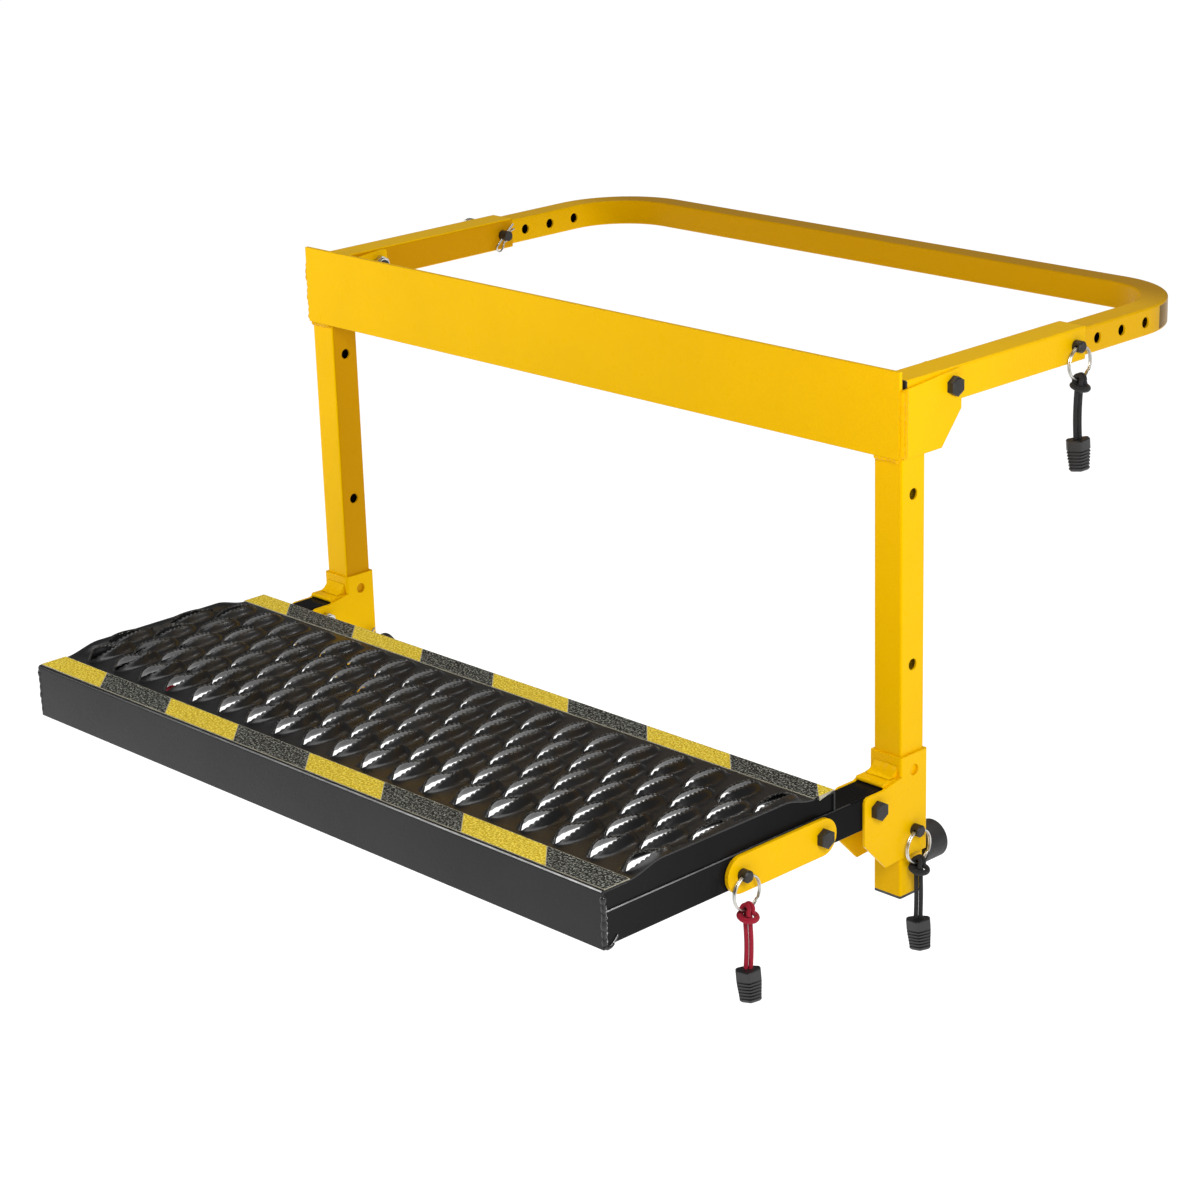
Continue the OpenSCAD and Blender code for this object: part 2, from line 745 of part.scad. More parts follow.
module ring_at(s, p, turn = 0) {
    color("#c8ccd0") hang()
    side(s) translate(p) rotate([turn, 0, 0]) translate([0, 0, ring_up - ring_r]) rotate([0, 90, 0])
        rotate_extrude() translate([ring_r, 0]) circle(d = ring_wire, $fn = 24);
}

// Cord: a loop round the ring's lowest part, a knot and two strands side by side.
module cord_at(s, p) {
    z_ring = p[2] + ring_up - 2 * ring_r;
    z_knot = z_ring - loop_r - knot_h * 0.35;
    side(s) translate([p[0], p[1], 0]) {
        translate([0, 0, z_ring]) rotate([90, 0, 0])
            rotate_extrude() translate([loop_r, 0]) circle(d = cord_d, $fn = 24);
        difference() {
            translate([0, 0, z_knot - knot_h / 2]) intersection() {
                cylinder(d = knot_d * 1.3, h = knot_h);
                translate([-knot_d * 0.4, -knot_d, 0]) cube([knot_d * 0.8, 2 * knot_d, knot_h]);
            }
            translate([0, 0, z_ring + ring_r]) rotate([0, 90, 0])
                rotate_extrude() translate([ring_r, 0]) circle(d = ring_wire + 0.5, $fn = 24);
        }
        for (q = [-1, 1]) translate([0, q * (cord_d / 2 + 0.1), z_knot - knot_h / 2 - cord_drop])
            cylinder(d = cord_d, h = cord_drop + 2, $fn = 24);
    }
}

function tab_top(p) = p[2] + ring_up - 2 * ring_r - loop_r
    - knot_h * 0.85 - cord_drop;

// Wedge-shaped moulded tab, thickest at the grip line, with a small hole near its end.
module tab_at(s, p) {
    z1 = tab_top(p);
    color("#262626") hang()
    side(s) difference() {
        translate([p[0], p[1] - tab_w / 2, z1]) rotate([0, 90, 90]) linear_extrude(tab_w)
            polygon([[0, -tab_t * 0.3], [0, tab_t * 0.3], [tab_l * 0.45, tab_t / 2],
                [tab_l, tab_t * 0.22], [tab_l, -tab_t * 0.22], [tab_l * 0.45, -tab_t / 2]]);
        bar_x(p[0] - tab_t, p[0] + tab_t, p[1], z1 - tab_l * 0.82, 4);
    }
}

black_cord = "#1e1e1e";
red_cord = "#a3142c";

module ring_height_left() { ring_at(-1, hang_height); }
module ring_height_right() { ring_at(1, hang_height); }
module ring_reach_left() { ring_at(-1, hang_reach, loose_turn); }
module ring_reach_right() { ring_at(1, hang_reach); }
module ring_link_left() { ring_at(-1, hang_link); }
module ring_link_right() { ring_at(1, hang_link); }
module cord_height_left() { color(black_cord) hang() cord_at(-1, hang_height); }
module cord_height_right() { color(black_cord) hang() cord_at(1, hang_height); }
module cord_reach_right() { color(black_cord) hang() cord_at(1, hang_reach); }
module cord_link_left() { color(red_cord) hang() cord_at(-1, hang_link); }
module cord_link_right() { color(red_cord) hang() cord_at(1, hang_link); }
module tab_height_left() { tab_at(-1, hang_height); }
module tab_height_right() { tab_at(1, hang_height); }
module tab_reach_right() { tab_at(1, hang_reach); }
module tab_link_left() { tab_at(-1, hang_link); }
module tab_link_right() { tab_at(1, hang_link); }

front_plate();
post_left();
post_right();
post_caps();
pivot_cheeks_left();
pivot_cheeks_right();
plate_welds();
sleeve_left();
sleeve_right();
stop_plates();
stop_welds();
height_pins();
height_pin_clips();
bumpers();
bumper_bolts();
bumper_nuts();
arm_pivot_bolts();
arm_pivot_nuts();
hoop_pivot_bolts();
hoop_pivot_nuts();
outer_tube_left();
outer_tube_right();
outer_tube_caps();
hoop_tube();
reach_pins();
reach_pin_clips();
arm_left();
arm_right();
tread();
tread_lips();
tread_end_plates();
cross_rails();
tape_yellow();
tape_black();
link_bars();
link_bolts();
link_nuts();
link_spacers();
link_pin_left();
link_pin_right();
ring_height_left();
ring_height_right();
ring_reach_left();
ring_reach_right();
ring_link_left();
ring_link_right();
cord_height_left();
cord_height_right();
cord_reach_right();
cord_link_left();
cord_link_right();
tab_height_left();
tab_height_right();
tab_reach_right();
tab_link_left();
tab_link_right();
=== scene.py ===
import bpy
import json
import math
import random
from mathutils import Matrix, Vector, noise


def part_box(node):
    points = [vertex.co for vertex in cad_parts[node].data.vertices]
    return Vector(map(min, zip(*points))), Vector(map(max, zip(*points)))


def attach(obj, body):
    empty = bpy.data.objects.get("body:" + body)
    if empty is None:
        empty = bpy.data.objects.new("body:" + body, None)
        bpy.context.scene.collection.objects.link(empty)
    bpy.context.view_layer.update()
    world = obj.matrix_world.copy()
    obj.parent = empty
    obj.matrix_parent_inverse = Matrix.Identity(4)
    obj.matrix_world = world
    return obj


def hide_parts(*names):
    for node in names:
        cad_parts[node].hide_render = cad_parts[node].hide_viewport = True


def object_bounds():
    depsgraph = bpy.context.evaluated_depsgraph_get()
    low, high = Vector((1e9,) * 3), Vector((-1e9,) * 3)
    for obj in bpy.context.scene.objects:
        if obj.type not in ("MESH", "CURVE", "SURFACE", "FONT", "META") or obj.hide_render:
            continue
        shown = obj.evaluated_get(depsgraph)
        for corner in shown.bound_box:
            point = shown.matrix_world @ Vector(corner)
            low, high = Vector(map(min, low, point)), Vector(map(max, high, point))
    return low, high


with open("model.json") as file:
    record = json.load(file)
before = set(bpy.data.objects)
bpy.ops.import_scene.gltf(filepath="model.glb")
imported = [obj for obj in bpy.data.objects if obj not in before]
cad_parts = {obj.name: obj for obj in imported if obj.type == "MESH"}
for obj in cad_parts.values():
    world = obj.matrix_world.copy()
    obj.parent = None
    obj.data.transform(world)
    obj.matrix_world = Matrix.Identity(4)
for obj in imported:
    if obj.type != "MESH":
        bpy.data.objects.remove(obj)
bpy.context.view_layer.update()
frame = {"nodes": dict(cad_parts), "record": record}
MM = 0.001

# ---------------------------------------------------------------- camera and stage

scene = bpy.context.scene
scene.view_settings.view_transform = "Standard"

camera_data = bpy.data.cameras.new("camera")
camera_data.sensor_width = 36.0
camera_data.lens = 89.764
camera = bpy.data.objects.new("camera", camera_data)
scene.collection.objects.link(camera)
camera_axes = (
    (0.698351, -0.214022, 0.683008),
    (0.715154, 0.247752, -0.653585),
    (-0.029335, 0.944888, 0.326077),
)
camera.matrix_world = (Matrix.Translation((2.42129, -2.29419, 0.84111))
                       @ Matrix(camera_axes).to_4x4())
camera_data.clip_start = 0.05
camera_data.clip_end = 200.0
scene.camera = camera


def area_light(name, at, target, size, power):
    """A soft lamp that the camera doesn't see."""
    data = bpy.data.lights.new(name, "AREA")
    data.shape = "RECTANGLE"
    data.size, data.size_y = size
    data.energy = power
    light = bpy.data.objects.new(name, data)
    scene.collection.objects.link(light)
    light.location = at
    light.rotation_euler = (Vector(target) - Vector(at)).to_track_quat("-Z", "Y").to_euler()
    light.visible_camera = False


CENTRE = (0.0, 0.0, -0.25)
area_light("key", (1.35, -0.55, 0.35), CENTRE, (0.45, 0.55), 10.5)
area_light("fill", (-1.3, -1.5, 0.4), CENTRE, (0.7, 0.7), 17)
area_light("top", (-0.2, 0.3, 2.6), CENTRE, (1.6, 1.6), 29)
area_light("rim_right", (0.95, 1.9, 1.8), (0.3, 0.0, -0.4), (0.35, 0.35), 8)
area_light("rim_left", (-2.0, -1.3, 1.5), (0.0, -0.4, -0.4), (0.35, 0.35), 4)

world = bpy.data.worlds.new("studio")
scene.world = world
world.use_nodes = True
world.node_tree.nodes["Background"].inputs["Color"].default_value = (1, 1, 1, 1)
world.node_tree.nodes["Background"].inputs["Strength"].default_value = 0.14

# ---------------------------------------------------------------- materials


class Nodes:
    """Short calls for building a material's node tree."""

    def __init__(self, name):
        self.material = bpy.data.materials.new(name)
        self.material.use_nodes = True
        self.tree = self.material.node_tree
        self.shader = self.tree.nodes["Principled BSDF"]
        self.object = self.tree.nodes.new("ShaderNodeTexCoord").outputs["Object"]

    def add(self, kind, **values):
        node = self.tree.nodes.new("ShaderNode" + kind)
        for key, value in values.items():
            if hasattr(node, key):
                setattr(node, key, value)
            else:
                self.put(node.inputs[key.replace("_", " ")], value)
        return node

    def put(self, socket, value):
        if isinstance(value, bpy.types.NodeSocket):
            self.tree.links.new(value, socket)
        else:
            socket.default_value = value

    def set(self, **values):
        for key, value in values.items():
            self.put(self.shader.inputs[key.replace("_", " ")], value)

    def tint(self, factor, colour):
        """Lays a colour over the base colour, as far as factor says."""
        base = self.shader.inputs["Base Color"].links[0].from_socket
        self.set(Base_Color=self.mix(factor, base, rgba(*colour)))

    def axis(self, number):
        """One object coordinate: 0, 1 or 2 for X, Y or Z."""
        return self.add("SeparateXYZ", Vector=self.object).outputs[number]

    def mark(self, name):
        """A mesh attribute's value, which is 0 on a mesh that hasn't got it."""
        return self.add("Attribute", attribute_name=name).outputs["Fac"]

    def noise(self, scale, detail=3.0, roughness=0.5):
        return self.add("TexNoise", Vector=self.object, Scale=scale, Detail=detail,
                        Roughness=roughness).outputs["Fac"]

    def ramp(self, value, low, high, to_low=0.0, to_high=1.0):
        node = self.add("MapRange", clamp=True)
        for socket, v in zip(node.inputs, (value, low, high, to_low, to_high)):
            self.put(socket, v)
        return node.outputs["Result"]

    def mix(self, factor, a, b):
        node = self.add("Mix", data_type="RGBA")
        self.put(node.inputs[0], factor)
        self.put(node.inputs[6], a)
        self.put(node.inputs[7], b)
        return node.outputs[2]

    def math(self, operation, a, b=0.0):
        node = self.add("Math", operation=operation)
        self.put(node.inputs[0], a)
        self.put(node.inputs[1], b)
        return node.outputs[0]

    def bump(self, height, strength, distance, normal=None):
        node = self.add("Bump", Strength=strength, Distance=distance, Height=height)
        if normal is not None:
            self.put(node.inputs["Normal"], normal)
        return node.outputs["Normal"]


def rgba(r, g, b):
    return (r, g, b, 1.0)


def powder_coat(name, colour, shade, rough, peel, specular, coat=0.0):
    """Painted steel, with peel for how strongly its orange peel shows."""
    n = Nodes(name)
    n.set(Metallic=0.0, Coat_Weight=coat, Coat_Roughness=0.12, Specular_IOR_Level=specular)
    n.set(Base_Color=n.mix(n.ramp(n.noise(9.0, 4.0), 0.35, 0.7), rgba(*colour), rgba(*shade)))
    n.tint(n.ramp(n.noise(620.0, 2.0), 0.73, 0.79), [c * 0.45 for c in colour])
    n.set(Roughness=n.ramp(n.noise(38.0, 4.0), 0.3, 0.75, rough - 0.05, rough + 0.09))
    rounded = n.add("Bevel", samples=4, Radius=0.0009).outputs["Normal"]
    coarse = n.bump(n.noise(330.0, 3.0), peel, 0.0008, rounded)
    n.set(Normal=n.bump(n.noise(1900.0, 2.0), 0.05, 0.0003, coarse))
    return n


POST_LO, POST_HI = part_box("post_right")
LEG_X = (POST_LO.x + POST_HI.x) / 2
POST_Y = (POST_LO.y + POST_HI.y) / 2
POST_HALF = (POST_HI.x - POST_LO.x) / 2
POST_SKIN = 2.2 * MM
FACE = 0.4 * MM  # how far past a tube's inner face its shade still counts
HOOP_LO, HOOP_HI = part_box("hoop_tube")
HOOP_HOLLOW = (2, (HOOP_LO.z + HOOP_HI.z) / 2, (HOOP_HI.z - HOOP_LO.z) / 2 - 2.5 * MM)


def yellow_coat(name, colour=(0.93, 0.535, 0.0), hollow=None, inner=None, rear=None, painted_front_shade=False):
    """Yellow powder coat, with painted shade where asked: hollow, the unlit insides of the legs,
    coloured near black, as axis, centre and half width; inner, the faces nearer the middle than
    that; rear, the run of Y over which the shade comes in; and the last, lumps of painted shade on
    the front faces towards the right, where their orange peel shows."""
    n = powder_coat(name, colour, [c * 0.95 for c in colour], 0.30, 0.45, 0.11)
    n.set(Specular_Tint=rgba(1.0, 0.62, 0.0))
    # Painted shade: the unlit insides of the legs are coloured near black.
    if hollow:
        axis, centre, half = hollow
        across = n.math("SUBTRACT", n.math("ABSOLUTE", n.axis(0)), LEG_X)
        other = n.math("SUBTRACT", n.axis(axis), centre)
        away = n.math("MAXIMUM", n.math("ABSOLUTE", across), n.math("ABSOLUTE", other))
        n.tint(n.math("LESS_THAN", away, half), (0.010, 0.006, 0.002))
    # Painted shade: the faces that look in towards the middle are coloured darker.
    if inner:
        facing = n.math("LESS_THAN", n.math("ABSOLUTE", n.axis(0)), inner)
        n.tint(facing, (colour[0] * 0.69, colour[1] * 0.57, 0.0))
    # Painted shade: the coat darkens towards the rear.
    if rear:
        n.tint(n.ramp(n.axis(1), *rear), (colour[0] * 0.61, colour[1] * 0.56, 0.0))
    # Painted shade: lumps of darker yellow on the faces that look forwards, more towards the right.
    if painted_front_shade:
        normal = n.add("NewGeometry").outputs["Normal"]
        front = n.math("LESS_THAN", n.add("SeparateXYZ", Vector=normal).outputs[1], -0.5)
        across = n.math("MULTIPLY", front, n.ramp(n.axis(0), -0.1, 0.48))
        lumps = n.ramp(n.noise(480.0, 3.0), 0.3, 0.7, 0.44, 0.74)
        n.tint(n.math("MULTIPLY", across, lumps), (colour[0] * 0.80, colour[1] * 0.74, 0.0))
    return n.material


YELLOW = yellow_coat("yellow_powder", painted_front_shade=True)
# The posts get painted shade in their hollow insides and on their inward faces.
YELLOW_POST = yellow_coat("yellow_powder_posts", hollow=(1, POST_Y, POST_HALF - POST_SKIN),
                          inner=POST_LO.x + FACE, painted_front_shade=True)
# The outer tubes get painted shade on their inward faces.
YELLOW_OUTER = yellow_coat("yellow_powder_outer_tubes",
                           inner=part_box("outer_tube_right")[0].x + FACE)
# The hoop's deeper yellow is painted shade, a darker copy of the coat; its hollow insides and its
# rear are shaded further.
YELLOW_HOOP = yellow_coat("yellow_powder_hoop", (0.84, 0.46, 0.0), HOOP_HOLLOW,
                          rear=(HOOP_HI.y - 110 * MM, HOOP_HI.y - 33 * MM))


def shaded_weld_yellow():
    # A darker copy of the yellow coat: painted shade that sets the weld beads off.
    n = powder_coat("yellow_powder_welds", (0.84, 0.45, 0.0), (0.66, 0.32, 0.0), 0.24, 0.7, 0.22)
    n.set(Specular_Tint=rgba(1.0, 0.72, 0.10))
    return n.material


def side_black():
    """The arms' coat, with painted light that makes it a little lighter towards the front."""
    n = powder_coat("black_powder_sides", (0.005, 0.005, 0.0055), (0.008, 0.008, 0.009), 0.22, 0.08,
                    0.03)
    # Painted light: lighter towards the front.
    n.tint(n.ramp(n.axis(1), -0.20, -0.45), (0.017, 0.017, 0.0175))
    return n.material


def tread_black():
    """The tread's coat, worn along the openings' rims."""
    n = powder_coat("tread_black", (0.006, 0.006, 0.0065), (0.009, 0.009, 0.010), 0.30, 0.08, 0.50)
    n.tint(n.math("MULTIPLY", n.mark("rim"), n.ramp(n.noise(260.0, 4.0), 0.45, 0.62, 0.0, 0.8)),
           (0.11, 0.10, 0.085))
    return n.material


YELLOW_WELD = shaded_weld_yellow()
BLACK = powder_coat("black_powder", (0.012, 0.012, 0.013), (0.017, 0.017, 0.018), 0.25, 0.08,
                    0.22).material
SIDE_BLACK = side_black()
TREAD_BLACK = tread_black()
WELD_BLACK = powder_coat("black_weld", (0.006, 0.006, 0.006), (0.010, 0.010, 0.010), 0.24, 0.3, 0.5,
                         coat=0.1).material


def grit(name, base, grain, painted_glint, low, high):
    """Anti-slip tape: grains over a base, painted glints on a few of them, and a painted highlight
    that makes the cut edges pale.
    """
    n = Nodes(name)
    n.set(Specular_IOR_Level=0.30)
    fine = n.noise(400.0, 1.5, roughness=0.6)
    n.set(Base_Color=n.mix(n.ramp(fine, low, high), rgba(*base), rgba(*grain)))
    dots = n.add("TexVoronoi", Vector=n.object, Scale=520.0).outputs["Distance"]
    # Painted glints on a few grains.
    n.tint(n.ramp(dots, 0.20, 0.10), painted_glint)
    # Painted highlight along the cut edges.
    n.tint(n.ramp(n.mark("rim"), 0.55, 0.85), (0.50, 0.47, 0.36))
    n.set(Roughness=n.ramp(fine, 0.3, 0.7, 0.85, 0.45))
    n.set(Normal=n.bump(n.noise(620.0, 4.0), 0.9, 0.0016))
    return n.material


TAPE_YELLOW = grit("tape_grit_yellow", (0.62, 0.42, 0.008), (1.0, 0.80, 0.09),
                   (1.0, 0.92, 0.40), 0.46, 0.58)
TAPE_BLACK = grit("tape_grit_black", (0.008, 0.008, 0.007), (0.30, 0.31, 0.27),
                  (0.80, 0.80, 0.72), 0.52, 0.62)


def metal(name, colour, rough, metallic=1.0, mottled=0.06, scale=500.0):
    """Plated or bare metal, slightly uneven in tone and gloss."""
    n = Nodes(name)
    n.set(Metallic=metallic)
    tone = n.ramp(n.noise(scale, 4.0), 0.3, 0.7)
    n.set(Base_Color=n.mix(tone, rgba(*colour), rgba(*[c * 0.72 for c in colour])))
    n.set(Roughness=n.ramp(n.noise(scale * 0.4, 4.0), 0.3, 0.7, rough, rough + mottled))
    rounded = n.add("Bevel", samples=4, Radius=0.0004).outputs["Normal"]
    n.set(Normal=n.bump(n.noise(scale * 3.0, 3.0), 0.06, 0.0003, rounded))
    return n.material


OXIDE = metal("black_oxide", (0.050, 0.047, 0.044), 0.40, 0.65, 0.14)
ZINC = metal("bright_zinc", (0.72, 0.71, 0.67), 0.20, 1.0, 0.12, 260.0)
CHROME = metal("ring_plate", (0.66, 0.65, 0.61), 0.24, 1.0, 0.08, 90.0)


def moulded(name, colour, rough, scale, depth):
    """Black rubber or plastic, with painted shade in its moulded grooves."""
    n = Nodes(name)
    tone = n.ramp(n.noise(60.0, 3.0), 0.3, 0.7)
    n.set(Base_Color=n.mix(tone, rgba(*colour), rgba(*[c * 1.5 for c in colour])))
    # Painted shade in the grooves.
    n.tint(n.mark("groove_shade"), (0.002, 0.002, 0.002))
    n.set(Roughness=n.ramp(n.noise(120.0, 3.0), 0.3, 0.7, rough - 0.06, rough + 0.08))
    n.set(Normal=n.bump(n.noise(scale, 3.0), 0.35, depth))
    return n.material


def painted_bend_highlight(name, axis, dark_end, bright_end, gain):
    """Black coat on a tight bend, with a painted highlight line that fades from bright_end to
    dark_end along an axis.
    """
    n = Nodes(name)
    span = n.math("DIVIDE", n.math("SUBTRACT", n.axis(axis), dark_end), bright_end - dark_end)
    fade = n.math("POWER", n.math("MAXIMUM", span, 0.0), 2.0)
    broken = n.math("MULTIPLY", fade, n.ramp(n.noise(55.0, 4.0), 0.25, 0.6, 0.45, 1.0))
    n.set(Base_Color=n.mix(broken, rgba(0.012, 0.012, 0.012), rgba(gain, gain, gain)))
    n.set(Roughness=0.3, Specular_IOR_Level=0.3)
    return n.material


# Painted highlights for the arms' top edges and the flange's top bend.
ARM_HIGHLIGHT = painted_bend_highlight("arm_painted_highlight", 1, -0.10, -0.447, 0.42)
FLANGE_HIGHLIGHT = painted_bend_highlight("flange_painted_highlight", 0, -0.55, 0.484, 0.70)
# Painted highlight for the black weld beads: thin silver runs laid on them.
WELD_HIGHLIGHT = metal("weld_painted_highlight", (0.42, 0.42, 0.42), 0.30, 0.7, 0.15)
PLASTIC = moulded("moulded_black_plastic", (0.017, 0.017, 0.018), 0.36, 1600.0, 0.0003)
RUBBER = moulded("bumper_black_rubber", (0.017, 0.016, 0.016), 0.58, 900.0, 0.0005)


def braid(name, colour, light):
    """Braided sleeve. The tubes carry a UV map in millimetres: along, and round."""
    n = Nodes(name)
    uv = n.tree.nodes.new("ShaderNodeTexCoord").outputs["UV"]
    split = n.add("SeparateXYZ", Vector=uv)
    u, v = split.outputs[0], split.outputs[1]
    pitch = 2.0 * math.pi / 1.15
    a = n.math("SINE", n.math("MULTIPLY", n.math("ADD", u, v), pitch))
    b = n.math("SINE", n.math("MULTIPLY", n.math("SUBTRACT", u, v), pitch))
    weave = n.ramp(n.math("MULTIPLY", a, b), -0.7, 0.7)
    fluff = n.noise(2400.0, 3.0)
    shade = n.mix(n.ramp(weave, 0.1, 0.8), rgba(*[c * 0.35 for c in colour]), rgba(*colour))
    n.set(Base_Color=n.mix(n.ramp(fluff, 0.5, 0.8), shade, rgba(*light)))
    n.set(Roughness=n.ramp(fluff, 0.3, 0.7, 0.55, 0.85))
    n.set(Sheen_Weight=0.06, Sheen_Roughness=0.45, Specular_IOR_Level=0.25)
    knitted = n.bump(weave, 0.45, 0.0004)
    n.set(Normal=n.bump(fluff, 0.25, 0.0002, knitted))
    return n.material


CORD_BLACK = braid("cord_braid_black", (0.022, 0.022, 0.023), (0.06, 0.06, 0.06))
CORD_RED = braid("cord_braid_red", (0.46, 0.008, 0.034), (0.56, 0.02, 0.05))

NODE_MATERIAL = {
    "yellow_paint": YELLOW, "black_paint": BLACK, "black_oxide": OXIDE, "zinc": ZINC,
    "ring_chrome": CHROME, "black_cord": CORD_BLACK, "red_cord": CORD_RED,
    "moulded_black": PLASTIC, "bumper_rubber": RUBBER, "tape_yellow": TAPE_YELLOW,
    "tape_black": TAPE_BLACK,
}
OWN_MATERIAL = {
    "post_left": YELLOW_POST, "post_right": YELLOW_POST, "hoop_tube": YELLOW_HOOP,
    "arm_left": SIDE_BLACK, "arm_right": SIDE_BLACK,
    "outer_tube_left": YELLOW_OUTER, "outer_tube_right": YELLOW_OUTER,
}
SLOT_OF = {s["node"]: s["material_slot"] for s in frame["record"]["subparts"]}
for cad_name, cad_node in frame["nodes"].items():
    cad_node.data.materials.clear()
    cad_node.data.materials.append(OWN_MATERIAL.get(cad_name, NODE_MATERIAL[SLOT_OF[cad_name]]))

# ---------------------------------------------------------------- mesh tools


def mark(mesh, name, values):
    """One number for each vertex, which a material can read."""
    mesh.attributes.new(name, "FLOAT", "POINT").data.foreach_set("value", values)


def smooth(mesh, sharp):
    """Smooth shading, apart from edges sharper than that many degrees."""
    mesh.polygons.foreach_set("use_smooth", [True] * len(mesh.polygons))
    mesh.set_sharp_from_angle(angle=math.radians(sharp))


def place(name, mesh, material, body, replaced=()):
    """An object that rides on a body and stands for the CAD nodes in replaced."""
    mesh.materials.clear()
    mesh.materials.append(material)
    obj = bpy.data.objects.new(name, mesh)
    scene.collection.objects.link(obj)
    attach(obj, body)
    if replaced:
        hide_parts(*replaced)
    return obj


def piece(name, verts, faces, material, body, replaced=(), sharp=60, uvs=None):
    """The same, from vertices and faces."""
    mesh = bpy.data.meshes.new(name)
    mesh.from_pydata([tuple(v) for v in verts], [], faces)
    if uvs is not None:
        layer = mesh.uv_layers.new(name="along_round")
        for loop in mesh.loops:
            layer.data[loop.index].uv = uvs[loop.vertex_index]
    mesh.validate()
    smooth(mesh, sharp)
    return place(name, mesh, material, body, replaced)


def tube(path, radius, sides=12, closed=False):
    """Verts, faces and UVs in millimetres of a tube swept along path. radius may be a list."""
    path = [Vector(p) for p in path]
    count = len(path)
    radii = radius if isinstance(radius, list) else [radius] * count
    tangents = []
    for i in range(count):
        a = path[i - 1] if closed or i > 0 else path[i]
        b = path[(i + 1) % count] if closed or i < count - 1 else path[i]
        tangents.append((b - a).normalized())
    start = Vector((1, 0, 0)) if abs(tangents[0].x) < 0.9 else Vector((0, 1, 0))
    normal = (start - tangents[0] * start.dot(tangents[0])).normalized()
    verts, uvs, run = [], [], 0.0
    for i in range(count):
        if i > 0:
            run += (path[i] - path[i - 1]).length
            normal = (normal - tangents[i] * normal.dot(tangents[i])).normalized()
        side = tangents[i].cross(normal)
        for j in range(sides):
            a = 2 * math.pi * j / sides
            verts.append(path[i] + (normal * math.cos(a) + side * math.sin(a)) * radii[i])
            uvs.append((run / MM, 2 * math.pi * radii[i] * j / sides / MM))
    faces = []
    for i in range(count if closed else count - 1):
        k = (i + 1) % count
        for j in range(sides):
            m = (j + 1) % sides
            faces.append((i * sides + j, i * sides + m, k * sides + m, k * sides + j))
    if not closed:
        faces.append(tuple(range(sides - 1, -1, -1)))
        faces.append(tuple((count - 1) * sides + j for j in range(sides)))
    return verts, faces, uvs


def joined(parts):
    """Several (verts, faces, uvs) as one."""
    verts, faces, uvs = [], [], []
    for v, f, *u in parts:
        base = len(verts)
        verts += v
        faces += [tuple(i + base for i in face) for face in f]
        uvs += u[0] if u else [(0, 0)] * len(v)
    return verts, faces, uvs


def smooth_path(points, steps):
    """Catmull-Rom points through the given ones."""
    p = [Vector(q) for q in points]
    p = [2 * p[0] - p[1]] + p + [2 * p[-1] - p[-2]]
    out = []
    for i in range(1, len(p) - 2):
        for s in range(steps):
            t = s / steps
            a, b, c, d = p[i - 1], p[i], p[i + 1], p[i + 2]
            out.append(0.5 * (2 * b + (c - a) * t + (2 * a - 5 * b + 4 * c - d) * t * t
                              + (3 * b - a - 3 * c + d) * t * t * t))
    out.append(p[-2])
    return out


def step(x, a, b):
    """0 up to a, 1 from b on, and smooth between."""
    t = min(1.0, max(0.0, (x - a) / (b - a)))
    return t * t * (3 - 2 * t)


# ---------------------------------------------------------------- pulls: cords, knots, tabs, rings

CORD_R = 2.45 * MM
COLUMN_GAP = 2.5 * MM  # from the middle of the doubled cord to either strand
RING_WIRE = 1.5 * MM  # radius of the CAD ring's wire
WIRE_R = 1.12 * MM  # radius of one of its two turns
RING_START = 2.2  # radians: where the wire's outer end lies
RING_TURNS = 2
RING_STEPS = 112
LOOP_R = WIRE_R + CORD_R + 0.3 * MM
REACH_FLAT = 5.9 * MM  # how far the reach pins' knots may come inwards
KNOT_H = 7.0 * MM  # from the ring's lowest part to the collar


def split_ring(kind, side):
    """Two close turns of wire, as a key ring has."""
    key = f"{kind}_{side}"
    lo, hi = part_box("ring_" + key)
    centre = (lo + hi) / 2
    out = 1.0 if side == "right" else -1.0
    ring_r = (hi.y - lo.y) / 2 - RING_WIRE
    path = []
    for i in range(RING_STEPS + 1):
        a = 2 * math.pi * RING_TURNS * i / RING_STEPS + RING_START
        shift = -1 + 2 * step(i / RING_STEPS, 0.44, 0.56)
        path.append(centre + Vector((out * shift * (WIRE_R + 0.02 * MM),
                                     ring_r * math.sin(a), ring_r * math.cos(a))))
    v, f, u = tube(path, WIRE_R, 10)
    piece("split_ring_" + key, v, f, CHROME, "pull_" + key, ["ring_" + key],
          sharp=35)
    return key, centre, out, ring_r


COLLAR_STEPS = 40


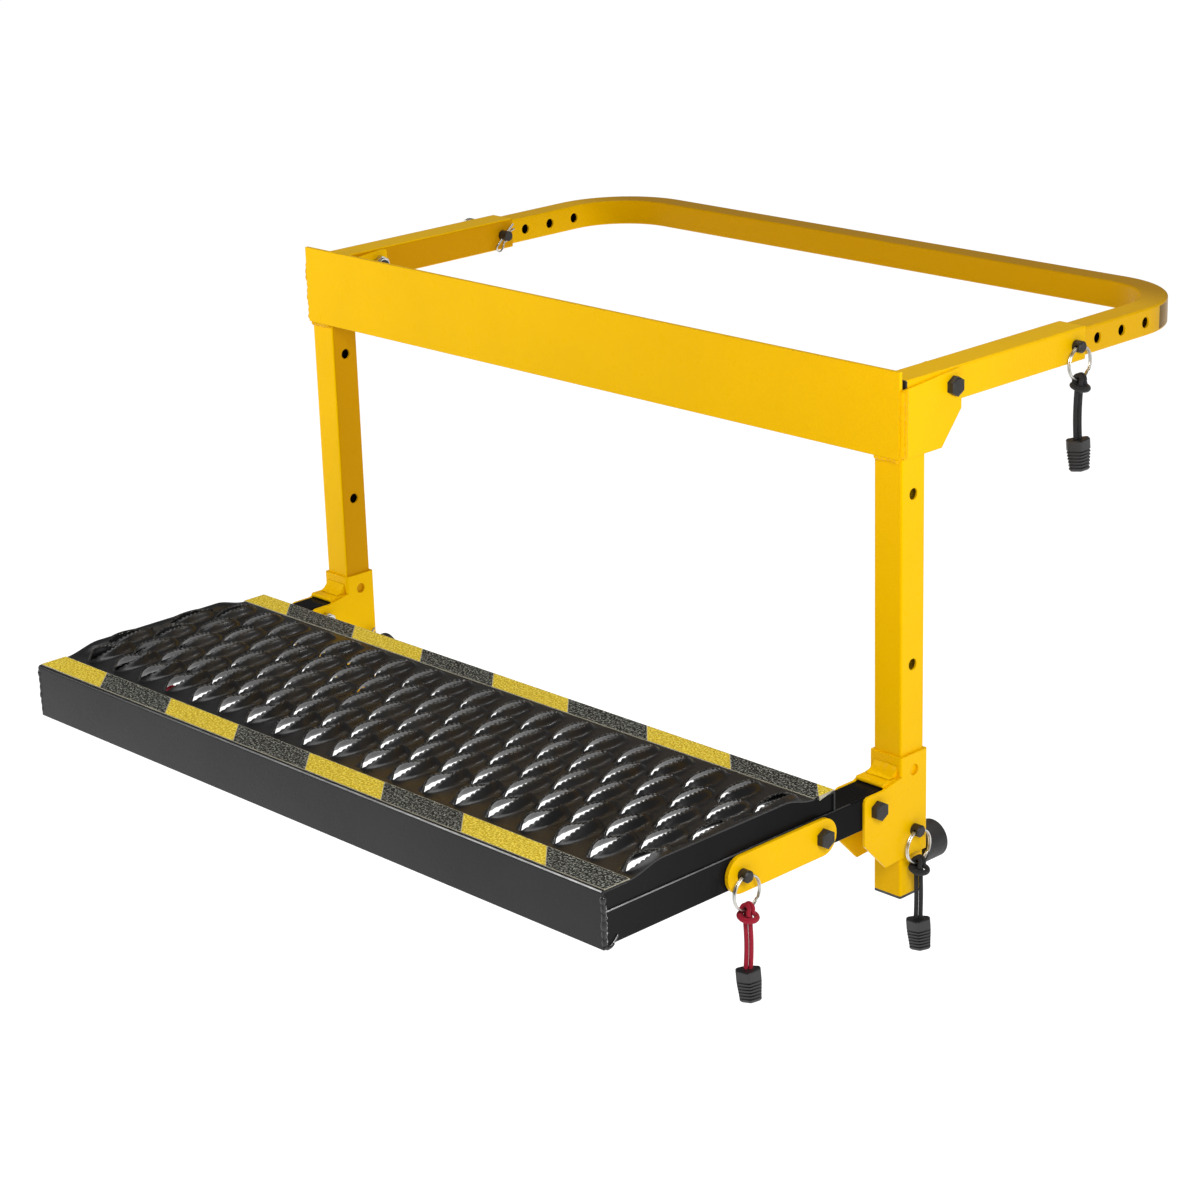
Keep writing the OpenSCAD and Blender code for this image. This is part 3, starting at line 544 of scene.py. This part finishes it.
def knot_parts(x, y, ring_z, collar_z, out):
    """The hitch round the ring's lowest part, the collar round the hitch and its throat."""
    parts = []
    for q in (-1, 1):
        strand = [(x + out * 1.0 * MM, y + q * 2.6 * MM, collar_z - 5.0 * MM),
                  (x - out * 4.6 * MM, y + q * 3.4 * MM, collar_z - 1.0 * MM)]
        for a in range(-10, 191, 20):
            r = math.radians(a)
            strand.append((x + out * (LOOP_R + 1.3 * MM) * -math.cos(r),
                           y + (q * (3.3 - 0.9 * math.sin(r)) + 1.5 * math.sin(r)) * MM,
                           ring_z + LOOP_R * math.sin(r) * 1.45 - 0.4 * MM))
        strand.append((x + out * 5.4 * MM, y + q * 4.2 * MM, collar_z + 2.0 * MM))
        parts.append(tube(smooth_path(strand, 3), CORD_R, 12))
    collar, thick = [], []
    for i in range(COLLAR_STEPS):
        a = 2 * math.pi * i / COLLAR_STEPS
        across = 10.6 * MM * math.sin(a)
        thick.append(CORD_R * (1.12 + 0.16 * math.cos(a)))
        collar.append((x + out * (8.2 * MM * math.cos(a) + 1.0 * MM), y + across,
                       collar_z - 0.4 * MM - 2.6 * MM * math.cos(a) - 0.10 * across))
    parts.append(tube(collar, thick, 12, closed=True))
    throat = [(x + out * 1.6 * MM, y, collar_z + 3.4 * MM - i * 2.0 * MM) for i in range(7)]
    parts.append(tube(throat, [r * MM for r in (2.4, 3.8, 4.6, 4.8, 4.2, 3.2, 2.2)], 14))
    return parts


COLUMN_STEPS = 14
BEND_PARTS = 10


def doubled_route(x, y, top, sunk, across, lean):
    """The cord's centreline: down beside the middle, round inside the tab, and back up."""
    columns = []
    for q in (-1, 1):
        column = []
        for i in range(COLUMN_STEPS + 1):
            t = i / COLUMN_STEPS
            bow = lean * math.sin(math.pi * t) * MM
            column.append(Vector((x, y, top + (sunk - top) * t)) + across * (bow + q * COLUMN_GAP))
        columns.append(column)
    bend = []
    for i in range(1, BEND_PARTS):
        a = math.pi * i / BEND_PARTS
        low = Vector((x, y, sunk - COLUMN_GAP * math.sin(a)))
        bend.append(low - across * COLUMN_GAP * math.cos(a))
    return [Vector(p) for p in columns[0] + bend + columns[1][::-1]]


def pull(kind, side, cord_material, turn, lean):
    """Split ring, hitched cord and moulded tab of one locking pin."""
    key, centre, out, ring_r = split_ring(kind, side)
    body = "pull_" + key
    x, y = centre.x, centre.y
    ring_z = centre.z - ring_r
    collar_z = ring_z - KNOT_H
    tab_lo, tab_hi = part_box("tab_" + key)
    v, f, u = joined(knot_parts(x, y, ring_z, collar_z, out))
    if kind == "reach":  # pressed flat on the side where the post passes it with the hoop folded
        v = [Vector((out * max(out * q[0], out * x - REACH_FLAT), q[1], q[2])) for q in v]
    knot = piece("knot_" + key, v, f, cord_material, body, uvs=u)

    angle = math.radians(turn)
    across = Vector((-math.sin(angle) * out, math.cos(angle), 0.0))
    route = doubled_route(x, y, collar_z + 1.0 * MM, tab_hi.z - 4 * MM, across, lean)
    v, f, u = tube(route, CORD_R, 12)
    cord = piece("cord_strands_" + key, v, f, cord_material, body,
                 ["cord_" + key], uvs=u)

    tab = make_tab(key, Vector((x, y, tab_hi.z + 1.5 * MM)), tab_hi.z - tab_lo.z - 1.0 * MM,
                   turn * out)


def loft(sections):
    """Verts and faces of a closed body through equal sections."""
    n = len(sections[0])
    verts = [Vector(p) for s in sections for p in s]
    faces = []
    for i in range(len(sections) - 1):
        for j in range(n):
            k = (j + 1) % n
            faces.append((i * n + j, i * n + k, (i + 1) * n + k, (i + 1) * n + j))
    faces.append(tuple(range(n - 1, -1, -1)))
    faces.append(tuple((len(sections) - 1) * n + j for j in range(n)))
    return verts, faces


TAB_GROOVES = 6
GROOVES_FROM, GROOVES_SPAN = 0.34, 0.61  # shares of the tab's height
GROOVE_MM = 1.5
HALF_MM, RIDGE_MM, SIDE_MM = 13.2, 10.6, 2.4  # the tab's section where it is largest
TAB_TILT = 4  # degrees


def make_tab(key, top, height, turn):
    """Cord end with a ridge down the middle of each broad face and moulded cross grooves."""
    levels = [(0.0, 0.0), (0.035, 0.0)]
    for g in range(TAB_GROOVES):
        w = GROOVES_SPAN / TAB_GROOVES
        a = GROOVES_FROM + GROOVES_SPAN * g / TAB_GROOVES
        levels += [(a, 0.0), (a + w * 0.14, GROOVE_MM), (a + w * 0.44, GROOVE_MM),
                   (a + w * 0.58, 0.0)]
    levels += [(0.955, 0.0), (1.0, 0.0)]
    sections = []
    for t, cut in levels:
        z = -height * t
        end = 0.93 if t == 0.0 else 0.88 if t == 1.0 else 1.0
        half = (HALF_MM - 1.7 * step(t, 0.3, 1.0)) * end - cut * 0.7
        ridge = (RIDGE_MM - 2.6 * step(t, 0.15, 1.0)) * end - cut
        side = (SIDE_MM - 0.5 * step(t, 0.35, 1.0)) * end
        drop = 1.6 * MM * (1 - step(t, 0.0, 0.12))
        ring = []
        for sign in (1, -1):
            for a, b, low in ((ridge, -sign * 0.8, drop), (ridge, sign * 0.8, drop),
                              (side + 1.6, sign * (half - 1.7), 0), (side, sign * half, 0),
                              (-side, sign * half, 0), (-side - 1.6, sign * (half - 1.7), 0)):
                ring.append((sign * a * MM, b * MM, z - low))
        sections.append(ring)
    verts, faces = loft(sections[::-1])
    rotation = (Matrix.Rotation(math.radians(turn), 3, "Z")
                @ Matrix.Rotation(math.radians(TAB_TILT), 3, "X"))
    tab = piece("tab_grip_" + key, [rotation @ v + top for v in verts], faces, PLASTIC,
                "pull_" + key, ["tab_" + key], sharp=22)
    # Marks the grooves, which the material paints with shade.
    mark(tab.data, "groove_shade", [float(cut > 0) for t, cut in levels[::-1] for _ in range(len(ring))])
    return tab


for side_name in ("left", "right"):
    pull("height", side_name, CORD_BLACK, -52, 0.6)
    pull("link", side_name, CORD_RED, -44, 1.4)
pull("reach", "right", CORD_BLACK, -36, -1.2)
split_ring("reach", "left")

# ---------------------------------------------------------------- tread

TREAD_LO, TREAD_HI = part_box("tread")
TOP = TREAD_HI.z
Y0, Y1 = TREAD_LO.y, TREAD_HI.y
X_END = TREAD_HI.x - 1.6 * MM  # where the sheet ends at either side
PITCH = 50.8 * MM  # from one opening to the next along X
ROW = 46.7 * MM  # from one row of openings to the next
SLOT_X0 = 10 * MM
SLOT_Y0 = Y0 + 82 * MM
ROWS = 5
HALF_COLS = 11
NV = 40  # mesh steps in a row's depth
OPEN_STEPS = 29  # how many of them half an opening takes
DV = ROW / NV
HALF_OPEN = OPEN_STEPS * DV
OPEN_W = 6.3 * MM  # half an opening's largest width
RIM_H = 11.0 * MM  # of a rim at the middle of its opening
FALL = 9.0 * MM  # run over which a raised rim falls back to the sheet
SHEET = 2.0 * MM
# Where a half strand's vertices are, from the opening's edge to the strand's middle.
SHARES = (0.0, 0.05, 0.11, 0.17, 0.23, 0.30, 0.38, 0.48, 0.70, 1.0)
FIELD_Y0 = SLOT_Y0 - ROW
FIELD_Y1 = SLOT_Y0 + ROWS * ROW
GRID = 2e4  # vertices nearer to each other than 1 / GRID metres are one
NEAR = 1e-6
TOOTH = 6.2 * MM
TOOTH_H = 1.5 * MM
TOOTHED = 0.12  # share of a strand's width that the teeth reach into
MID_H = 1.5 * MM  # the sheet's rise in the middle, and at the ends
END_H = 9.0 * MM


def plateau(y):
    """How much of the sheet's rise is left towards the front and rear bends."""
    front = step(y, FIELD_Y0 + 4 * MM, FIELD_Y0 + 52 * MM)
    return front * (1 - step(y, FIELD_Y1 - 48 * MM, FIELD_Y1 - 4 * MM))


def base_height(x, y):
    """The sheet's rise where no rim adds to it."""
    end = step(abs(x), X_END - 20 * MM, X_END - 3 * MM)
    return (MID_H + (END_H - MID_H) * end) * plateau(y)


def open_half(v):
    """Half width of an opening at distance v from its middle."""
    t = min(1.0, abs(v) / HALF_OPEN)
    return OPEN_W * (1 - t ** 2.2) ** 0.85


LEANS = (0.72, 0.30, 0.10, 0.05, 0.0)  # by row, from the front


def rim_height(v, side, row):
    """Each strand rises towards one end of its opening and dips at the other."""
    t = max(-1.0, min(1.0, v / HALF_OPEN))
    return RIM_H * (1 - abs(t) ** 2.8) ** 0.72 * (1 + LEANS[row] * side * t)


def tooth(v, phase):
    """0 to 1 along the serrated edge."""
    return abs(math.sin(math.pi * (v / TOOTH + phase))) ** 0.8


def tread_field():
    """The pierced sheet's upper side, one half strand at a time, and how worn each vertex is."""
    verts, faces, rim, index = [], [], [], {}
    draw = random.Random(7)

    def vertex(x, y, z, r):
        x = max(-X_END, min(X_END, x))
        key = (round(x * GRID), round(y * GRID), round(z * GRID) if r >= 0.99 else -1)
        if key not in index:
            index[key] = len(verts)
            verts.append((x, y, TOP + z))
            rim.append(r)
        return index[key]

    for k in range(-1, ROWS + 1):
        for i in range(-HALF_COLS, HALF_COLS + 1):
            cx = SLOT_X0 + i * PITCH - (k % 2) * PITCH / 2
            cy = SLOT_Y0 + k * ROW
            real = 0 <= k < ROWS and abs(cx) < X_END - 2 * MM
            phases = (draw.random(), draw.random())
            if cx - PITCH / 2 > X_END or cx + PITCH / 2 < -X_END:
                continue
            for side in (-1, 1):
                rows = []
                for j in range(-NV, NV + 1):
                    v = j * DV
                    y = cy + v
                    if y < FIELD_Y0 - NEAR or y > FIELD_Y1 + NEAR:
                        rows.append(None)
                        continue
                    reach = PITCH / 2 * (1 - abs(v) / ROW)
                    opened = real and abs(j) < OPEN_STEPS
                    half = open_half(v) if opened else 0.0
                    line = []
                    for s in SHARES:
                        x = cx + side * (half + s * (reach - half))
                        base = base_height(x, y)
                        z = base
                        r = 0.0
                        if opened:
                            room = min(FALL, reach - half)
                            d = s * (reach - half)
                            g = 1 - step(d, 0, room)
                            z = base + max(0.0, rim_height(v, side, k) - base) * g
                            if s < TOOTHED:
                                fade = (1 - s / TOOTHED) ** 1.5
                                t = tooth(v, phases[(side + 1) // 2])
                                edge = min(1.0, rim_height(v, side, k) / (5 * MM))
                                z += TOOTH_H * (t - 0.45) * fade * edge
                                if s == 0.0:
                                    x -= side * 0.9 * MM * (t - 0.3) * edge
                                    r = 1.0
                                else:
                                    r = 0.10 * fade
                        line.append(vertex(x, y, z, r))
                    rows.append(line)
                for a, b in zip(rows, rows[1:]):
                    if a is None or b is None:
                        continue
                    for c in range(len(SHARES) - 1):
                        face = (a[c], a[c + 1], b[c + 1], b[c])
                        if side < 0:
                            face = face[::-1]
                        face = tuple(p for n, p in enumerate(face) if p != face[n - 1])
                        if len(set(face)) > 2:
                            faces.append(face)
    return verts, faces, rim


def finished_sheet(name, verts, faces, rim, thickness, sharp):
    """Gives a one-sided sheet its thickness below it."""
    mesh = bpy.data.meshes.new(name)
    mesh.from_pydata(verts, [], faces)
    mesh.validate()
    mark(mesh, "rim", rim)
    obj = bpy.data.objects.new(name, mesh)
    scene.collection.objects.link(obj)
    modifier = obj.modifiers.new("thick", "SOLIDIFY")
    modifier.thickness = thickness
    modifier.offset = -1.0
    depsgraph = bpy.context.evaluated_depsgraph_get()
    made = bpy.data.meshes.new_from_object(obj.evaluated_get(depsgraph))
    bpy.data.objects.remove(obj)
    smooth(made, sharp)
    return made


field = finished_sheet("tread_field", *tread_field(), SHEET, 50)
place("tread_strands", field, TREAD_BLACK, "platform", ["tread_lips"])


def extruded(profile, x0, x1):
    """Closed outline in Y-Z drawn out along X."""
    n = len(profile)
    verts = [(x, y, z) for x in (x0, x1) for y, z in profile]
    faces = [tuple(range(n - 1, -1, -1)), tuple(range(n, 2 * n))]
    for i in range(n):
        k = (i + 1) % n
        faces.append((i, k, n + k, n + i))
    return verts, faces


BEND_STEPS = 6


def arc(cy, cz, r, a0, a1):
    """Points of a bend in Y-Z, from one angle to the other."""
    angles = [math.radians(a0 + (a1 - a0) * i / BEND_STEPS) for i in range(BEND_STEPS + 1)]
    return [(cy + r * math.cos(a), cz + r * math.sin(a)) for a in angles]


BEND = 3.2 * MM
SKIN = 2.4 * MM
LAP = 0.2 * MM  # how far a flange goes under the pierced field
FLANGE_Z = TREAD_LO.z
outer = ([(Y0, FLANGE_Z)] + arc(Y0 + BEND, TOP - BEND, BEND, 180, 90)
         + [(FIELD_Y0 + LAP, TOP)])
inner = ([(FIELD_Y0 + LAP, TOP - SKIN)] + arc(Y0 + BEND, TOP - BEND, BEND - SKIN, 90, 180)
         + [(Y0 + SKIN, FLANGE_Z)])
v, f = extruded(outer + inner, -TREAD_HI.x, TREAD_HI.x)
piece("tread_front", v, f, BLACK, "platform", ["tread"], sharp=25)
REAR_Z = TOP - 45 * MM
SIDE_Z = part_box("arm_left")[1].z + 0.1 * MM  # just above the arms
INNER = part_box("sleeve_right")[0].x - 6 * MM  # the rear flange is full height inside this
parts = []
for x0, x1, z in ((-TREAD_HI.x, -INNER, SIDE_Z), (-INNER, INNER, REAR_Z),
                  (INNER, TREAD_HI.x, SIDE_Z)):
    outer = [(FIELD_Y1 - LAP, TOP)] + arc(Y1 - BEND, TOP - BEND, BEND, 90, 0) + [(Y1, z)]
    inner = ([(Y1 - SKIN, z)] + arc(Y1 - BEND, TOP - BEND, BEND - SKIN, 0, 90)
             + [(FIELD_Y1 - LAP, TOP - SKIN)])
    parts.append(extruded(outer + inner, x0, x1))
v, f, u = joined(parts)
piece("tread_rear", v, f, BLACK, "platform", sharp=25)


PLATE_X = (X_END - 3.2 * MM, X_END - 0.4 * MM)
PLATE_STEPS = 70


def end_plate(sign):
    """Upright plate that closes the tread's end: its top follows the sheet's wavy edge."""
    verts, faces = [], []
    for i in range(PLATE_STEPS + 1):
        y = Y0 + SKIN + (Y1 - Y0 - 2 * SKIN) * i / PLATE_STEPS
        inside = FIELD_Y0 < y < FIELD_Y1
        top = TOP - SHEET * 0.6 + (base_height(X_END, y) if inside else 0.0)
        for x in PLATE_X:
            for z in (SIDE_Z, top):
                verts.append((sign * x, y, z))
    for i in range(PLATE_STEPS):
        a, b = 4 * i, 4 * i + 4
        faces += [(a, a + 1, b + 1, b), (a + 2, b + 2, b + 3, a + 3),
                  (a + 1, a + 3, b + 3, b + 1), (a, b, b + 2, a + 2)]
    last = 4 * PLATE_STEPS
    faces += [(0, 2, 3, 1), (last, last + 1, last + 3, last + 2)]
    if sign < 0:
        faces = [q[::-1] for q in faces]
    return verts, faces


v, f, u = joined([end_plate(1), end_plate(-1)])
piece("tread_ends", v, f, SIDE_BLACK, "platform", ["tread_end_plates"], sharp=30)

# ---------------------------------------------------------------- tape

TAPE_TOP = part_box("tape_yellow")[1].z
TAPE_LO, TAPE_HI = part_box("tape_black")
TAPE_X = max(-TAPE_LO.x, TAPE_HI.x)
SEGMENT = 127 * MM
SEGMENTS = 10
TAPE_LIFT = 0.1 * MM
TAPE_RAGGED = 0.24 * MM
TAPE_ROUGH = 0.16 * MM
# Where a row of segments starts in X, its front and width in Y, and where its front is cut off.
TAPE_ROWS = (
    (-360 * MM, Y0 + 1.5 * MM, 38 * MM, Y0 + 4.2 * MM),
    (-398 * MM, Y1 - 32.8 * MM, 32 * MM, Y1 - 32.8 * MM),
)


TAPE_NX, TAPE_NY = 80, 24  # mesh steps along and across a segment


def tape_strip(start, y_base, width, y_from):
    """One gritty segment with slanted ends, slightly uneven edges and a rough top."""
    nx, ny = TAPE_NX, TAPE_NY
    verts, faces = [], []
    for i in range(nx + 1):
        column = []
        for j in range(ny + 1):
            y = y_from + (y_base + width - y_from) * j / ny
            lo = max(-TAPE_X, start - (y - y_base))
            hi = max(lo, min(TAPE_X, start + SEGMENT - (y - y_base)))
            x = lo + (hi - lo) * i / nx
            ragged, rough = 0.0, 0.0
            if j in (0, ny):
                ragged = TAPE_RAGGED * noise.noise(Vector((x * 170, j * 3.0, 0)))
            else:
                rough = TAPE_ROUGH * noise.noise(Vector((x * 420, y * 420, 1.0)))
            column.append((x, y + ragged, TAPE_TOP + TAPE_LIFT + rough))
        verts += [(*column[0][:2], TOP)] + column + [(*column[-1][:2], TOP)]
    row = ny + 3
    for i in range(nx):
        for j in range(row - 1):
            a, b = i * row + j, (i + 1) * row + j
            faces.append((a, b, b + 1, a + 1))
    faces.append(tuple(range(row)))
    faces.append(tuple(nx * row + j for j in range(row - 1, -1, -1)))
    # Which vertices are on a cut edge, in the first of the two numbers that joined() hands on.
    edges = [(1.0 if j in (0, 1, ny + 1, ny + 2) or i in (0, nx) else 0.0, 0.0)
             for i in range(nx + 1) for j in range(row)]
    return verts, faces, edges


for first, colour, material in ((0, "yellow", TAPE_YELLOW), (1, "black", TAPE_BLACK)):
    strips = []
    for i in range(first, SEGMENTS, 2):
        for start, y_base, width, y_from in TAPE_ROWS:
            at = start + (i - 1) * SEGMENT
            if at + SEGMENT > -TAPE_X and at - width < TAPE_X:
                strips.append(tape_strip(at, y_base, width, y_from))
    node_name = "tape_" + colour
    v, f, u = joined(strips)
    strip = piece("tape_strips_" + colour, v, f, material, "platform", [node_name],
                  sharp=40)
    # The cut edges are marked for the painted highlight.
    mark(strip.data, "rim", [e[0] for e in u])

# ---------------------------------------------------------------- platform edges

ARM_LO, ARM_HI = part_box("arm_right")
ARM_IN = 0.55 * MM  # from the arm's faces to the middle of the tube along its bend
STRIP_STEPS = 60


def edge_strip(start, end, radius):
    """A thin straight tube that follows a bend."""
    path = [Vector(start).lerp(Vector(end), i / STRIP_STEPS) for i in range(STRIP_STEPS + 1)]
    return tube(path, radius, 10)


# Thin strips along the arms' top edges and the flange's top bend, which carry the painted
# highlight.
for side_name, sign in (("left", -1), ("right", 1)):
    x = sign * (ARM_HI.x - ARM_IN)
    z = ARM_HI.z - ARM_IN
    v, f, u = edge_strip((x, ARM_LO.y + 1 * MM, z), (x, ARM_HI.y - 60 * MM, z), 0.8 * MM)
    piece("arm_bend_" + side_name, v, f, ARM_HIGHLIGHT, "platform")
y, z = Y0 + 0.7 * MM, TOP - 0.75 * MM
v, f, u = edge_strip((-X_END, y, z), (X_END, y, z), 0.9 * MM)
piece("flange_bend", v, f, FLANGE_HIGHLIGHT, "platform")

# ---------------------------------------------------------------- weld beads


LUMP_STEPS = 6  # mesh steps for each lump of a bead


def bead(start, end, away, radius, count, seed):
    """Row of overlapping lumps between start and end, bulging towards away."""
    draw = random.Random(seed)
    start, end, away = Vector(start), Vector(end), Vector(away).normalized()
    path, radii = [], []
    steps = count * LUMP_STEPS
    lumps = [0.85 + 0.3 * draw.random() for _ in range(count + 1)]
    for i in range(steps + 1):
        t = i / steps
        k = t * count
        lump = lumps[int(min(k, count))]
        wave = abs(math.sin(math.pi * (k % 1.0)))
        wander = 0.12 * radius * math.sin(k * 1.7 + seed)
        path.append(start.lerp(end, t) + away * wander)
        taper = 0.45 + 0.55 * step(min(t, 1 - t), 0, 0.04)
        radii.append(radius * lump * (0.80 + 0.22 * wave) * taper)
    return tube(path, radii, 12)


FILLET_STEPS = 40
FILLET_HALF = 16.5 * MM  # half its length along X
# Its outline in millimetres, Y and Z from the corner that it fills.
FILLET = ((0, 13.0), (-0.9, 10.5), (-2.0, 8.2), (-3.4, 6.0), (-5.2, 4.1), (-7.6, 2.6),
          (-10.4, 1.5), (-13.4, 0.5))


def fillet_weld(sign, box):
    """Smooth concave weld between a stop plate and the sleeve above it."""
    y, z = box[1].y, box[0].z
    verts, faces = [], []
    nx, m = FILLET_STEPS, len(FILLET)
    for i in range(nx + 1):
        t = i / nx
        x = sign * (LEG_X - FILLET_HALF + 2 * FILLET_HALF * t)
        for j, (dy, dz) in enumerate(FILLET):
            mid = math.sin(math.pi * j / (m - 1))
            lump = 0.8 * MM * mid * (0.4 + noise.noise(Vector((t * 5.5 + sign, j * 0.35, 4.0))))
            verts.append((x, y + dy * MM - lump, z + dz * MM + lump))
        verts.append((x, y, z))
    row = m + 1
    for i in range(nx):
        for j in range(row):
            a, b = i * row + j, i * row + (j + 1) % row
            faces.append((a, b, b + row, a + row))
    faces.append(tuple(range(row - 1, -1, -1)))
    faces.append(tuple(nx * row + j for j in range(row)))
    return verts, faces


corner_welds, corner_highlights = [], []
for sign in (-1, 1):
    x, y = sign * (TREAD_HI.x - 1.2 * MM), Y0 + 2.2 * MM
    bottom = Vector((x, y, TREAD_LO.z + 2.5 * MM))
    corner_welds.append(bead((x, y, TOP - 5 * MM), bottom, (sign, -0.4, 0), 3.0 * MM, 6, 21 + sign))
    drip = [bottom + Vector(p) * MM for p in
            ((0, 0, 1.5), (sign * 0.6, 2.5, -0.8), (sign * 1.2, 6, -1.0), (sign * 1.4, 10, 1.2),
             (sign * 1.4, 14, 4.6), (sign * 1.2, 17, 8.0))]
    run = smooth_path(drip, 5)
    corner_welds.append(tube(run, [3.0 * MM] * 8 + [2.5 * MM] * 8 + [1.7 * MM] * 10, 10))
    # Painted highlights: thin silver runs laid along the black beads.
    wander = [noise.noise(Vector((i * 0.37, sign * 5.0, 1.0))) for i in range(40)]
    highlight_path = [(x + sign * (2.0 + 0.5 * w) * MM, y + (2.1 + 1.3 * w) * MM,
             TOP - 16 * MM - i * 1.1 * MM) for i, w in enumerate(wander)]
    corner_highlights.append(tube(highlight_path, [(0.35 + 1.3 * max(w, -0.1)) * MM for w in wander[::-1]], 8))
    highlight_path = [p + Vector((sign * 1.0, -0.3, 1.1)) * MM for p in run]
    widths = [(0.4 + 0.35 * abs(math.sin(i * 1.3))) * MM for i in range(len(highlight_path))]
    corner_highlights.append(tube(highlight_path, widths, 8))
v, f, u = joined(corner_welds)
piece("weld_beads_corners", v, f, WELD_BLACK, "platform")
v, f, u = joined(corner_highlights)
piece("weld_highlights_corners", v, f, WELD_HIGHLIGHT, "platform")

PLATE_LO, PLATE_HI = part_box("front_plate")
welds = []
stops = []
for sign in (-1, 1):
    for out, y, thick, lumps in ((1.3, -1.0, 3.6, 9), (3.0, 3.0, 2.3, 13)):
        x = sign * (POST_HI.x + out * MM)
        welds.append(bead((x, y * MM, PLATE_HI.z - 19 * MM), (x, y * MM, PLATE_LO.z + 1 * MM),
                          (sign, -1, 0), thick * MM, lumps, 3 + sign + lumps))
    a, b = (POST_LO.x + 2 * MM) * sign, (POST_HI.x - 2 * MM) * sign
    welds.append(bead((a, -1.6 * MM, PLATE_LO.z - 1.6 * MM), (b, -1.6 * MM, PLATE_LO.z - 1.6 * MM),
                      (0, -1, -1), 3.2 * MM, 6, 11 + sign))
    stops.append(fillet_weld(sign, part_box("stop_welds")))
v, f, u = joined(welds)
piece("weld_beads_plate", v, f, YELLOW_WELD, "frame", ["plate_welds"])
v, f, u = joined(stops)
piece("weld_beads_stops", v, f, YELLOW, "frame", ["stop_welds"])

# ---------------------------------------------------------------- floor

FLOOR_DROP = 0.30  # below the part's lowest point
floor_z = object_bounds()[0].z - FLOOR_DROP
bpy.ops.mesh.primitive_plane_add(size=120, location=(0, 0, floor_z))
floor = bpy.context.object
floor.name = "floor"
n = Nodes("floor_white")
n.set(Base_Color=rgba(0.35, 0.35, 0.35), Roughness=0.9, Emission_Color=rgba(1, 1, 1))
n.set(Emission_Strength=0.97, Specular_IOR_Level=0.0)
floor.data.materials.append(n.material)
